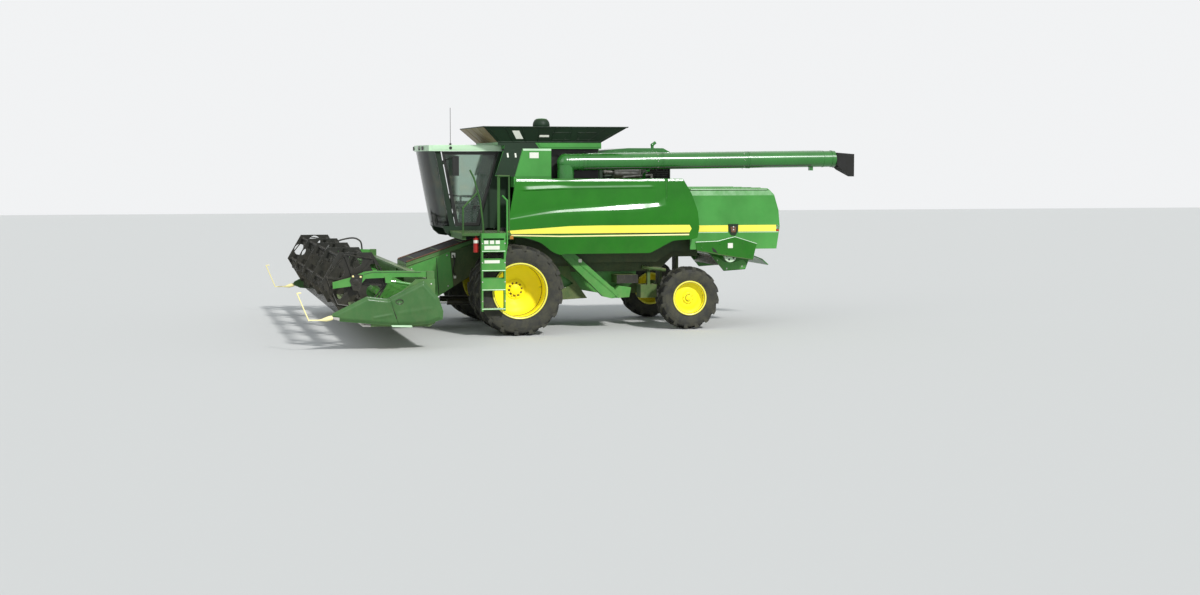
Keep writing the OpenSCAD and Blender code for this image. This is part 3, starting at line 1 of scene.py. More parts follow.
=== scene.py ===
# Combine harvester: looks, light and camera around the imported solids.
from math import copysign, cos, exp, hypot, pi, radians, sin, sqrt, tan

import bmesh
import bpy
from mathutils import Matrix, Vector


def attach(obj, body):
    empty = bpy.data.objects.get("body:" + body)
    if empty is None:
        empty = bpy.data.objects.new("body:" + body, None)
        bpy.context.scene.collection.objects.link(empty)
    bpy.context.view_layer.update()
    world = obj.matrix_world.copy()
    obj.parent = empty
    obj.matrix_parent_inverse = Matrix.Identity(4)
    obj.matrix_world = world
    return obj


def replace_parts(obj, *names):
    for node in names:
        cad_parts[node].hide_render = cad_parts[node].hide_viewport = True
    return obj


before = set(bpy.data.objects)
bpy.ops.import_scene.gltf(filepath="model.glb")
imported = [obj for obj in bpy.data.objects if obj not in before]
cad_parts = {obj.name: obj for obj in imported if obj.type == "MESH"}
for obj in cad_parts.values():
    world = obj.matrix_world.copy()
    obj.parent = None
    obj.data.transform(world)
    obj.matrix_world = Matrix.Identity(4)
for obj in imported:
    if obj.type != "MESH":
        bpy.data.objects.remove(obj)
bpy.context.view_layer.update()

# Points are given from the front axle: x forward, y left, z up, in metres.
# The row frame's origin lies AXLE_X behind it.
AXLE_X = 1.4065
TAU = 2 * pi
TIP = 0.0001    # radius at which a turned profile closes
# where an outline's two coordinates and its level go, by the axis it is drawn out along
ORDER = {"x": (2, 0, 1), "y": (0, 2, 1), "z": (0, 1, 2)}

# ---- materials


def srgb(r, g, b):
    """Linear colour of an 8-bit display colour."""
    linear = [v / 12.92 if v <= 0.04045 else ((v + 0.055) / 1.055) ** 2.4
        for v in (r / 255, g / 255, b / 255)]
    return (*linear, 1)


DUST = srgb(188, 168, 124)


def given(thing, **props):
    """The thing, with some properties set."""
    for key, value in props.items():
        setattr(thing, key, value)
    return thing


class Nodes:
    """Short names for building the node tree of a material or a world."""

    def __init__(self, owner):
        owner.use_nodes = True
        self.owner, self.tree = owner, owner.node_tree

    def put(self, socket, value):
        if hasattr(value, "is_output"):
            self.tree.links.new(value, socket)
        else:
            socket.default_value = value

    def fill(self, node, **values):
        """Sets or links sockets; an underscore stands for a space."""
        for key, value in values.items():
            self.put(node.inputs[key.replace("_", " ")], value)
        return node.outputs

    def shader(self, **values):
        self.fill(self.tree.nodes["Principled BSDF"], **values)
        return self.owner

    def new(self, kind, **props):
        return given(self.tree.nodes.new("ShaderNode" + kind), **props)

    def coord(self, kind="Object"):
        return self.new("TexCoord").outputs[kind]

    def noise(self, scale, detail=3, rough=0.55, stretch=None):
        source = self.coord()
        if stretch:
            source = self.fill(self.new("Mapping"), Vector=source, Scale=stretch)[0]
        return self.fill(self.new("TexNoise"), Scale=scale, Detail=detail, Roughness=rough,
            Vector=source)["Fac"]

    def ramp(self, value, low, high, a=0, b=1):
        node = self.new("MapRange", interpolation_type="SMOOTHSTEP")
        return self.fill(node, Value=value, From_Min=low, From_Max=high, To_Min=a,
            To_Max=b)["Result"]

    def math(self, op, a, b):
        node = self.new("Math", operation=op)
        self.put(node.inputs[0], a)
        self.put(node.inputs[1], b)
        return node.outputs[0]

    def add(self, a, b):
        return self.math("ADD", a, b)

    def times(self, a, b):
        return self.math("MULTIPLY", a, b)

    def mix(self, fac, a, b):
        node = self.new("Mix", data_type="RGBA")
        for socket, value in zip((0, 6, 7), (fac, a, b)):
            self.put(node.inputs[socket], value)
        return node.outputs[2]

    def axis(self, source, i):
        return self.fill(self.new("SeparateXYZ"), Vector=source)[i]

    def bump(self, height, strength, distance):
        return self.fill(self.new("Bump"), Strength=strength, Distance=distance,
            Height=height)["Normal"]

    def edges(self, radius):
        """1 where the surface turns within the radius, 0 on flats."""
        dot = self.new("VectorMath", operation="DOT_PRODUCT")
        self.put(dot.inputs[0], self.fill(self.new("Bevel", samples=3), Radius=radius)[0])
        self.put(dot.inputs[1], self.new("NewGeometry").outputs["Normal"])
        return self.ramp(dot.outputs["Value"], 0.97, 0.8)


def material(name):
    return Nodes(bpy.data.materials.new(name))


def enamel(name, base, shade, dust=0.3, rough=0.34, wear=0.35, bare=(0.2, 0.19, 0.17, 1),
        coat=0.12, shine=0.35):
    """Painted sheet: mottled enamel, dust low down and on ledges, worn edges."""
    n = material(name)
    colour = n.mix(n.ramp(n.noise(0.9, 4), 0.35, 0.68), srgb(*base), srgb(*shade))
    grime = n.noise(7, 6, 0.75, (1, 1, 0.6))
    low = n.ramp(n.axis(n.coord(), 2), 2.4, 0.2)
    ledge = n.ramp(n.axis(n.coord("Normal"), 2), 0.35, 0.95)
    amount = n.add(n.add(n.times(low, 0.5), n.times(ledge, 0.4)), 0.06)
    amount = n.times(n.times(amount, n.ramp(grime, 0.25, 0.8, 0.25, 1)), dust)
    worn = n.times(n.times(n.edges(0.01), n.ramp(n.noise(14, 5), 0.5, 0.66)), wear)
    gloss = n.add(n.ramp(grime, 0.2, 0.8, rough - 0.06, rough + 0.14), n.times(amount, 0.35))
    dents = n.add(n.noise(2.2, 2), n.times(n.noise(260, 2), 0.04))
    return n.shader(Base_Color=n.mix(worn, n.mix(amount, colour, DUST), bare), Roughness=gloss,
        Specular_IOR_Level=shine, Coat_Weight=coat, Coat_Roughness=0.15,
        Normal=n.bump(dents, 0.3, 0.003))


def rubber(name, base, dusty, amount=0.6, rough=0.82, scale=30):
    """Rubber with dust in its pores and on its flanks."""
    n = material(name)
    base = srgb(*base)
    patch = n.noise(6, 6, 0.7)
    grain = n.noise(scale * 6, 3)
    colour = n.mix(n.times(n.ramp(patch, 0.3, 0.72), amount), base, srgb(*dusty))
    return n.shader(Base_Color=n.mix(n.ramp(grain, 0.35, 0.8, 0, 0.25), colour, base),
        Roughness=n.ramp(patch, 0.2, 0.8, rough - 0.12, rough + 0.08),
        Normal=n.bump(n.add(grain, n.noise(scale, 3)), 0.35, 0.0015))


def metal(name, base, stain, rough=0.38, amount=0.5, metallic=1):
    """Bare metal with stains."""
    n = material(name)
    grain = n.noise(120, 3, 0.6)
    fac = n.times(n.ramp(n.noise(9, 6, 0.7), 0.42, 0.72), amount)
    gloss = n.add(n.ramp(grain, 0.2, 0.8, rough - 0.08, rough + 0.1), n.times(fac, 0.4))
    return n.shader(Base_Color=n.mix(fac, base, stain), Roughness=gloss,
        Metallic=n.math("SUBTRACT", metallic, n.times(fac, metallic * 0.9)),
        Normal=n.bump(grain, 0.2, 0.001))


def pane(name, tint, rough=0.04):
    """Tinted glass with faint dust, darker in the windshield as painted shade."""
    n = material(name)
    dirt = n.noise(4, 6, 0.7)
    # the darker tint towards the windshield is painted shade
    shade = (tint[0] * 0.12, tint[1] * 0.13, tint[2] * 0.12, 1)
    ahead = n.ramp(n.axis(n.coord(), 0), AXLE_X + 0.98, AXLE_X + 1.1)
    colour = n.mix(n.ramp(dirt, 0.45, 0.85, 0, 0.25), n.mix(ahead, tint, shade), DUST)
    return n.shader(Base_Color=colour, Roughness=n.ramp(dirt, 0.3, 0.9, rough, rough + 0.16),
        Transmission_Weight=0.92, IOR=1.45)


def cloth(name, base, light):
    """Woven seat cloth."""
    n = material(name)
    weave = n.fill(n.new("TexWave", wave_type="BANDS", bands_direction="DIAGONAL"), Scale=220,
        Distortion=1.5, Vector=n.coord())["Fac"]
    patch = n.noise(7, 5)
    fac = n.times(weave, n.ramp(patch, 0.3, 0.8, 0.4, 1))
    return n.shader(Base_Color=n.mix(fac, base, light), Sheen_Weight=0.3,
        Roughness=n.ramp(patch, 0.2, 0.8, 0.8, 0.95), Normal=n.bump(weave, 0.3, 0.001))


M = {
    "green": enamel("green_enamel", (22, 110, 2), (16, 98, 1), 0.1, coat=0.5, shine=0.15),
    "light": enamel("light_green_enamel", (66, 148, 62), (52, 128, 48), rough=0.4),
    "dark": enamel("dark_green_enamel", (8, 40, 16), (5, 30, 11), 0.08, 0.55, coat=0),
    "tube": enamel("tube_green_enamel", (34, 112, 36), (28, 100, 30), 0.1, 0.24, coat=0.8),
    "under": enamel("dusty_green_enamel", (48, 98, 38), (34, 78, 28), 0.55, 0.55, 0.7,
                    coat=0),
    "shield": enamel("header_green_enamel", (60, 116, 56), (46, 98, 42), 0.45, 0.42, 0.5),
    "divider": enamel("divider_moulding", (48, 98, 46), (38, 82, 36), 0.14, 0.4, 0.1,
                      (0.05, 0.09, 0.04, 1)),
    "pale": enamel("pale_green_enamel", (194, 224, 192), (176, 210, 172), 0.2, 0.32),
    "yellow": enamel("yellow_enamel", (250, 238, 34), (246, 228, 24), 0.1, 0.42,
                     bare=(0.3, 0.22, 0.05, 1), coat=0, shine=0.2),
    "stripe_and_highlight": enamel("stripe_and_highlight_yellow", (240, 232, 92), (236, 226, 80), 0.08, 0.3),
    # darker copy of the green for frames and bodies under the machine: painted shade
    "shade": enamel("shaded_green_enamel", (26, 66, 26), (18, 50, 18), 0.5, 0.5, coat=0),
    "black": enamel("black_enamel", (28, 32, 29), (18, 21, 19), 0.14, 0.38,
                    bare=(0.3, 0.28, 0.25, 1)),
    "white": enamel("white_plate", (232, 234, 222), (214, 216, 202), 0.2),
    "cream": enamel("cream_enamel", (250, 240, 176), (238, 226, 158), 0.15),
    "red": enamel("red_enamel", (176, 26, 20), (150, 20, 16), 0.2),
    "tan": enamel("tan_sheet", (150, 130, 100), (124, 106, 80), 0.5, 0.6),
    "amber": enamel("amber_lens", (182, 120, 48), (160, 100, 36), 0.15, 0.3),
    "tyre": rubber("tyre_rubber", (34, 35, 32), (96, 94, 74), 0.45),
    "spout": rubber("spout_rubber_and_shade", (14, 15, 13), (46, 46, 38), 0.25, 0.85, 12),
    "hose": rubber("hose_rubber", (26, 26, 24), (80, 74, 60), 0.3, 0.6),
    "steel": metal("worn_steel", (0.56, 0.55, 0.52, 1), (0.2, 0.13, 0.08, 1)),
    "rust_and_shade": metal("rusty_steel_and_shade", (0.13, 0.062, 0.034, 1), (0.24, 0.12, 0.06, 1), 0.75, 0.8,
                  0.3),
    "cast": metal("cast_block", (0.1, 0.14, 0.1, 1), (0.05, 0.045, 0.04, 1), 0.6, 0.6, 0.2),
    "chrome": metal("bright_rod", (0.8, 0.8, 0.79, 1), (0.45, 0.42, 0.36, 1), 0.14, 0.25),
    "glass": pane("tinted_glass", (0.3, 0.42, 0.34, 1)),
    "lens": pane("clear_lens", (0.92, 0.93, 0.9, 1), 0.12),
    "seat": cloth("seat_cloth_dark", (0.03, 0.032, 0.03, 1), (0.075, 0.078, 0.072, 1)),
}

NODE_LOOKS = {
    "green": "chopper_housing side_shield_left side_shield_right",
    "light": "elevators straw_hood grain_tank ladder header_auger reel_arms"
             " reel_lift_barrels",
    # the tank extension's sheets lean out and face down; their dark green is painted shade
    "dark": "tank_extension cab_body",
    # these parts under the machine take the darker green as painted shade
    "shade": "main_frame front_axle separator_body",
    "under": "rear_axle platform knuckle_left knuckle_right side_boxes",
    "tube": "engine_deck auger_turret unloading_auger",
    "shield": "feederhouse header_frame",
    "divider": "crop_dividers",
    "pale": "cab_roof",
    "yellow": "front_left_rims front_right_rims rear_left_rim rear_right_rim",
    "black": "cab_door reel lift_barrels rotary_screen feeder_drive",
    "red": "extinguisher",
    "tyre": "front_left_tyres front_right_tyres rear_left_tyre rear_right_tyre",
    "spout": "auger_spout",
    "hose": "roof_antenna",
    "steel": "chopper_rotor tie_rod cutterbar engine_pipes",
    "cast": "engine side_drives",
    "chrome": "lift_rods reel_lift_rods",
    "glass": "cab_glass door_glass",
    "lens": "work_lamps",
    "seat": "cab_seat",
}
for look, names in NODE_LOOKS.items():
    for name in names.split():
        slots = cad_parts[name].data.materials
        slots.clear()
        slots.append(M[look])

# ---- mesh code


def share(a, b, x):
    """How far x has come from a to b, from 0 to 1."""
    return min(1, max(0, (x - a) / (b - a)))


def ease(a, b, x):
    t = share(a, b, x)
    return t * t * (3 - 2 * t)


def between(table, x):
    """Straight-line reading of a table of x and value, in rising x."""
    for (x0, v0), (x1, v1) in zip(table, table[1:]):
        if x <= x1:
            return v0 + (v1 - v0) * max(0, (x - x0) / (x1 - x0))
    return table[-1][1]


def flowing(table, x):
    """Smooth reading of a table of x and value that doesn't overshoot."""
    step = [(v1 - v0) / (x1 - x0) for (x0, v0), (x1, v1) in zip(table, table[1:])]
    slope = [step[0]] + [0 if a * b <= 0 else 2 * a * b / (a + b)
        for a, b in zip(step, step[1:])] + [step[-1]]
    i = max(0, min(len(step) - 1, sum(1 for row in table if row[0] <= x) - 1))
    (x0, v0), (x1, v1) = table[i], table[i + 1]
    h = x1 - x0
    t = share(x0, x1, x)
    return ((1 + 2 * t) * (1 - t) ** 2 * v0 + t * (1 - t) ** 2 * h * slope[i] + t * t * (3 - 2 * t)
        * v1 + t * t * (t - 1) * h * slope[i + 1])


def curve(points, per=8):
    """Points of a smooth line through the given ones."""
    p = [Vector(q) for q in points]
    p = [2 * p[0] - p[1]] + p + [2 * p[-1] - p[-2]]
    out = []
    for a, b, c, d in zip(p, p[1:], p[2:], p[3:]):
        for t in (k / per for k in range(per)):
            out.append(0.5 * (2 * b + (c - a) * t + (2 * a - 5 * b + 4 * c - d) * t * t
                + (3 * b - a - 3 * c + d) * t ** 3))
    return out + [p[-2]]


def spaced(start, gap, n):
    return [start + gap * k for k in range(n)]


def turns(n, start=0):
    """n angles of one full turn."""
    return [start + TAU * k / n for k in range(n)]


def orbit(at, r, a):
    """Point at an angle about an axle through a point."""
    return (at[0] + r * cos(a), at[1], at[2] + r * sin(a))


def rect(x0, z0, x1, z1):
    return [(x0, z0), (x1, z0), (x1, z1), (x0, z1)]


def placed(name, data, at=(0, 0, 0), along=None):
    """Object in the scene; a lamp or a camera looks along the given direction."""
    obj = bpy.data.objects.new(name, data)
    bpy.context.scene.collection.objects.link(obj)
    obj.location = at
    if along:
        obj.rotation_euler = Vector(along).to_track_quat("-Z", "Y").to_euler()
    return obj


class Shape:
    """Gathers faces in several looks and makes one piece of them."""

    def __init__(self):
        self.points, self.faces, self.index, self.looks = [], [], [], []

    def add(self, look, points, faces):
        if look not in self.looks:
            self.looks.append(look)
        first = len(self.points)
        self.points += [Vector(p) for p in points]
        self.faces += [[first + i for i in face] for face in faces]
        self.index += [self.looks.index(look)] * len(faces)

    def grid(self, look, rows, close=False):
        """Skin over rows of points of one length."""
        n = len(rows[0])
        pairs = [(j, (j + 1) % n) for j in range(n if close else n - 1)]
        self.add(look, [p for row in rows for p in row], [(i + j, i + k, i + n + k, i + n + j)
            for i in range(0, (len(rows) - 1) * n, n) for j, k in pairs])

    def prism(self, look, outline, lo, hi, axis="y", taper=1):
        """Outline drawn out along an axis; taper shrinks the far end about its middle."""
        n = len(outline)
        mid = [sum(p[k] for p in outline) / n for k in (0, 1)]
        points = []
        for level, scale in ((lo, 1), (hi, taper)):
            for p in outline:
                q = [mid[k] + (p[k] - mid[k]) * scale for k in (0, 1)] + [level]
                points.append([q[k] for k in ORDER[axis]])
        faces = [(i, (i + 1) % n, n + (i + 1) % n, n + i) for i in range(n)]
        self.add(look, points, [list(range(n))[::-1], list(range(n, 2 * n))] + faces)

    def box(self, look, lo, hi):
        self.prism(look, rect(*lo[:2], *hi[:2]), lo[2], hi[2], "z")

    def tube(self, look, points, r, sides=10, closed=False):
        """Round tube along points; r may be a list."""
        pts = [Vector(p) for p in points]
        n = len(pts)
        radii = r if isinstance(r, list) else [r] * n
        rows, side = [], None
        for i in range(n):
            ahead = pts[(i + 1) % n] if closed or i < n - 1 else pts[i]
            behind = pts[i - 1] if closed or i > 0 else pts[i]
            d = (ahead - behind).normalized()
            if side is None:
                side = d.orthogonal().normalized()
            side = (side - d * side.dot(d)).normalized()
            up = d.cross(side)
            rows.append([pts[i] + radii[i] * (side * cos(a) + up * sin(a)) for a in turns(sides)])
        if closed:
            rows.append(rows[0])
        self.grid(look, rows, close=True)
        if not closed:
            base = len(self.points) - n * sides
            last = base + (n - 1) * sides
            self.faces += [list(range(base, base + sides))[::-1], list(range(last, last + sides))]
            self.index += [self.looks.index(look)] * 2

    def rod(self, look, y, line, r, sides=8):
        """Tube along a line of x and z at one y."""
        self.tube(look, [(x, y, z) for x, z in line], r, sides)

    def lathe(self, look, at, profile, steps=48, axis="y", turn=0):
        """Profile of radius and distance along an axis, turned about it."""
        rows = []
        for r, t in profile:
            spots = [(r * cos(a), r * sin(a), t) for a in turns(steps, turn)]
            rows.append([[at[i] + q[k] for i, k in enumerate(ORDER[axis])] for q in spots])
        self.grid(look, rows, close=True)

    def nut(self, look, at, r, h, axis="y", turn=0):
        """Washer and hexagon head that stand on a point."""
        lift = copysign(0.003, h)
        self.lathe(look, at, [(TIP, lift), (r * 1.45, lift), (r * 1.45, 0)], 12, axis)
        self.lathe(look, at, [(r, 0), (r, h * 0.85), (r * 0.8, h), (TIP, h)], 6, axis, turn)

    def nuts(self, look, y, spots, r, h):
        for x, z in spots:
            self.nut(look, (x, y, z), r, h)

    def flipped(self):
        return [Vector((p.x, -p.y, p.z)) for p in self.points]

    def mirrored(self):
        """Adds the other side of the machine."""
        first = len(self.points)
        self.points += self.flipped()
        self.faces += [[first + i for i in face[::-1]] for face in self.faces]
        self.index += self.index

    def on(self, side):
        """Turns a left-hand shape into a right-hand one where the side asks for it."""
        if side == "right":
            self.points = self.flipped()
            self.faces = [face[::-1] for face in self.faces]
        return self

    def done(self, name, body, slot, bevel=0, angle=38):
        """Makes the piece, in the row frame, riding on a body."""
        mesh = bpy.data.meshes.new(name)
        mesh.from_pydata([(p.x + AXLE_X, p.y, p.z) for p in self.points], [], self.faces)
        for look in self.looks:
            mesh.materials.append(M[look])
        mesh.polygons.foreach_set("material_index", self.index)
        mesh.polygons.foreach_set("use_smooth", [True] * len(mesh.polygons))
        work = bmesh.new()
        work.from_mesh(mesh)
        bmesh.ops.remove_doubles(work, verts=work.verts, dist=0.00002)
        bmesh.ops.recalc_face_normals(work, faces=work.faces)
        work.to_mesh(mesh)
        work.free()
        mesh.set_sharp_from_angle(angle=radians(angle))
        obj = placed(name, mesh)
        if bevel:
            given(obj.modifiers.new("edges", "BEVEL"), width=bevel, segments=2,
                limit_method="ANGLE", angle_limit=radians(angle), harden_normals=True)
        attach(obj, body)
        return obj


# ---- tyres and wheels

TYRE_BEAD = 0.435    # share of a tyre's width at which its bead sits


def tyre(s, at, r, w, rim_r, lugs):
    """Carcass with a ribbed sidewall and curved lugs."""
    hw = w / 2
    bead = w * TYRE_BEAD
    tread = r - 0.04
    mid = (rim_r + r) / 2
    half = [(rim_r + 0.0005, bead), (rim_r + 0.01, bead + 0.01), (rim_r + 0.022, bead + 0.012),
        (rim_r + 0.03, bead + 0.008), (rim_r + 0.05, hw * 0.955), (mid - 0.03, hw * 0.995),
        (mid, hw), (mid + 0.035, hw * 0.992), (r - 0.105, hw * 0.972), (r - 0.085, hw * 0.955),
        (r - 0.062, hw * 0.9), (tread - 0.01, hw * 0.78), (tread - 0.004, hw * 0.5), (tread, 0)]
    profile = half + [(a, -b) for a, b in half[-2::-1]]
    flank = 11    # profile points of a sidewall; the tread's band lies between the two
    # the band of tread between the lugs is drawn in darker rubber as painted shade
    for look, part in (("tyre", profile[:flank]), ("spout", profile[flank - 1:1 - flank]),
            ("tyre", profile[-flank:])):
        s.lathe(look, at, part, 96)
    # share of the half width, height over the axis, foot, lag and half thickness of a lug
    sections = ((-0.03, r, tread - 0.01, 0, 0.02), (0.12, r, tread - 0.01, 0.04, 0.023),
        (0.45, r - 0.002, tread - 0.014, 0.125, 0.026),
        (0.78, r - 0.008, tread - 0.03, 0.196, 0.031), (0.965, r - 0.02, r - 0.085, 0.226, 0.034),
        (0.99, r - 0.06, r - 0.1, 0.231, 0.033), (0.99, r - 0.105, r - 0.12, 0.234, 0.028))
    for side in (-1, 1):
        for k in range(lugs):
            base = -pi / 2 + (k + 0.16 + (0.5 if side > 0 else 0)) * (TAU / lugs)
            rows = []
            for u, top, low, lag, thick in sections:
                lead = base + lag * hw / 0.2335 * 0.9 / r
                spot = (at[0], at[1] + side * u * hw, at[2])
                rows.append([orbit(spot, rr, lead + end * thick * grow / r)
                    for end, rr, grow in ((-1, low, 1.35), (-1, top, 1), (1, top, 1),
                    (1, low, 1.35))])
            s.grid("tyre", rows, close=True)
            s.add("tyre", rows[0], [(3, 2, 1, 0)])
            s.add("tyre", rows[-1], [(0, 1, 2, 3)])
    for rr, y in ((mid + 0.012, hw + 0.0015), (mid - 0.045, hw * 0.992)):
        for sign in (-1, 1):
            s.lathe("tyre", at, [(rr - 0.004, sign * (y - 0.004)), (rr, sign * (y + 0.001)),
                (rr + 0.004, sign * (y - 0.004))], 96)


def rim_trim(s, at, w, rim_r, disc, hub, hub_face, bolts, bolt_ring, cap, dish=0):
    """Rolled flanges, barrel beads, dished centre, hub ring and its bolts."""
    x, y, z = at
    flange = w * TYRE_BEAD + 0.012
    inner = rim_r - 0.038

    def turned(look, where, profile, steps):
        s.lathe(look, (x, where, z), profile, steps)

    # the rolled flanges are drawn in a paler yellow than the rim as painted highlight
    for sign in (-1, 1):
        turned("stripe_and_highlight", y + sign * flange, [(rim_r - 0.03, 0), (rim_r - 0.02, sign * 0.006),
            (rim_r - 0.006, sign * 0.01), (rim_r + 0.002, sign * 0.006),
            (rim_r + 0.003, -sign * 0.002), (rim_r - 0.004, -sign * 0.006)], 72)
    # dark rings in the groove inside each flange and in the corner of disc and barrel: painted
    # shade
    for r, out, thick in ((rim_r - 0.033, flange - 0.003, 0.006),
            (inner - 0.004, disc - y + 0.036, 0.005)):
        s.tube("rust_and_shade", [orbit((x, y + out, z), r, a) for a in turns(72)], thick, 6, closed=True)
    for t in (0.62, 0.25):
        turned("yellow", y + t * flange, [(inner + 0.001, -0.022), (inner - 0.011, -0.012),
            (inner - 0.013, 0), (inner - 0.011, 0.012), (inner + 0.001, 0.022)], 72)
    bowl = [(inner + 0.001, 0.03), (inner - 0.018, 0.022), (inner - 0.045, 0.012),
        (inner - 0.085, 0.008), (inner * 0.7, 0.012), (inner * 0.62, 0.022), (inner * 0.5, 0.026),
        (hub, 0.024), (hub, 0.001)]
    turned("yellow", disc, [(r, t - dish * (inner - r) / (inner - hub)) for r, t in bowl], 72)
    turned("yellow", hub_face, [(hub - 0.001, -0.02), (hub - 0.003, 0.003), (hub - 0.01, 0.008),
        (cap + 0.012, 0.008), (cap + 0.006, 0.004)], 48)
    turned("yellow", hub_face + 0.045, [(cap, -0.045), (cap, -0.006), (cap - 0.01, 0.003),
        (cap * 0.55, 0.006), (cap * 0.45, 0.012), (TIP, 0.014)], 40)
    # a dark ring round the cap, between the bolts: painted shade
    turned("rust_and_shade", hub_face, [(cap + 0.004, 0.0095), (cap * 1.4, 0.0095)], 48)
    for k in range(bolts):
        a = TAU * (k + 0.3) / bolts
        s.nut("yellow", orbit((x, hub_face + 0.008, z), bolt_ring, a), cap * 0.17, 0.034, turn=a)
    s.tube("black", [(x - inner * t, disc + out, z + 0.05) for t, out in ((0.97, 0.05),
        (0.93, 0.06), (0.88, 0.09))], 0.006, 8)


# a wheel's centre, then radius, width and rim radius
FRONT_OUTER, FRONT_INNER, FRONT = (0, 2.1, 0.9), (0, 1.45, 0.9), (0.9, 0.467, 0.559)
REAR_WHEEL, REAR = (-3.7, 1.52, 0.65), (0.65, 0.43, 0.356)

for side in ("left", "right"):
    for end, tyres in (("front", f"front_{side}_tyres"), ("rear", f"rear_{side}_tyre")):
        s, t = Shape(), Shape()
        if end == "front":
            tyre(s, FRONT_INNER, *FRONT, 18)
            tyre(s, FRONT_OUTER, *FRONT, 18)
            rim_trim(t, FRONT_OUTER, *FRONT[1:], 1.905, 0.206, 1.79, 10, 0.134, 0.106, 0.145)
            rim_trim(t, FRONT_INNER, *FRONT[1:], 1.64, 0.206, 1.664, 10, 0.15, 0.12)
        else:
            tyre(s, REAR_WHEEL, *REAR, 16)
            rim_trim(t, REAR_WHEEL, *REAR[1:], 1.575, 0.121, 1.615, 8, 0.1, 0.05)
        body = f"{end}_{side}_wheels" if end == "front" else f"{end}_{side}_wheel"
        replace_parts(s.on(side).done(f"{tyres}_fine", body, "tyre", 0.004), tyres)
        t.on(side).done(f"{end}_{side}_wheel_trim", body, "yellow_paint", 0.0015)


# ---- side shields

SHIELD_Y = 1.62    # the shield's outermost plane
BOW = [(1.56, 0.014), (1.9, 0), (2.65, 0), (2.9, 0.007), (3.08, 0.018), (3.13, 0.028)]
SHIELD_LOW = [(-3.92, 2.1), (-3.88, 1.9), (-3.787, 1.87), (-3.384, 1.84), (-3.04, 1.676),
    (-2.83, 1.59), (-1.07, 1.59), (-0.99, 1.576), (-0.845, 1.62), (-0.554, 1.827), (-0.19, 1.935),
    (0.16, 1.96)]
SHIELD_HIGH = [(-3.92, 2.101), (-3.88, 2.45), (-3.75, 2.8), (-3.565, 3.12), (-0.06, 3.12),
    (0.16, 1.961)]
CREASE = [(-3.92, 2.622), (-3.04, 2.622), (-2.869, 2.618), (-2.443, 2.596), (-1.808, 2.549),
    (-0.969, 2.489), (0.134, 2.31), (0.2, 2.3)]
LEDGE = [(-3.92, 2.52), (-2.997, 2.534), (-2.656, 2.494), (-1.808, 2.463), (-0.969, 2.434),
    (0.134, 2.29), (0.2, 2.28)]
RIB = [(-2.933, 2.955), (-0.969, 2.934), (-0.243, 2.904)]
RECESS_END = -3.212


def crease(x):
    return flowing(CREASE, x) + 0.12 * ease(RECESS_END + 0.16, RECESS_END, x)


def relief(x, z):
    """How far the shield's skin stands off its plate."""
    low = flowing(LEDGE, x) + 0.03 * ease(RECESS_END + 0.25, RECESS_END, x)
    sunk = share(low, crease(x), z) * ease(RECESS_END - 0.03, RECESS_END + 0.03, x)
    swell = 0.022 * ease(-0.8, -2.2, x) * ease(1.95, 2.3, z)
    out = 0.026 - 0.012 * ease(1.95, 1.6, z) + swell
    out -= 0.335 * (flowing(CREASE, x) - flowing(LEDGE, x)) * sunk
    height = 0.07 - 0.03 * ease(-0.8, -1.3, x)
    rib = between(RIB, x)
    fall = max(0, min(1, (rib + height - z) / (height + 0.015)))
    out += 0.29 * height * (ease(rib - 0.034, rib - 0.015, z) * fall
        * ease(-0.16, -0.26, x) * ease(-2.96, -2.9, x))
    out -= 0.011 * ease(3.055, 3.115, z)
    return max(out, 0.003)


def on_shield(x, z, lift=0):
    return (x, SHIELD_Y - between(BOW, z) + relief(x, z) + lift, z)


def shield_strip(s, look, top, low, x0, x1, lift, steps=60, round_end=0):
    """Thin plate that follows the shield between two lines."""
    rows = []
    for i in range(steps + 1):
        x = x0 + (x1 - x0) * i / steps
        zt, zl = between(top, x), between(low, x)
        zt = min(zt, between(SHIELD_HIGH, x) - 0.004)
        if round_end and x < x0 + round_end:
            t = (x - x0) / round_end
            mid, half = (zt + zl) / 2, (zt - zl) / 2 * sqrt(max(0, 1 - (1 - t) ** 2))
            zt, zl = mid + max(half, 0.002), mid - max(half, 0.002)
        rows.append([on_shield(x, zl, -0.002), on_shield(x, zl, lift),
            on_shield(x, zl + (zt - zl) * 0.5, lift), on_shield(x, zt, lift),
            on_shield(x, zt, -0.002)])
    s.grid(look, rows)
    for row in (rows[0], rows[-1]):
        s.add(look, row, [(0, 1, 2, 3, 4)])


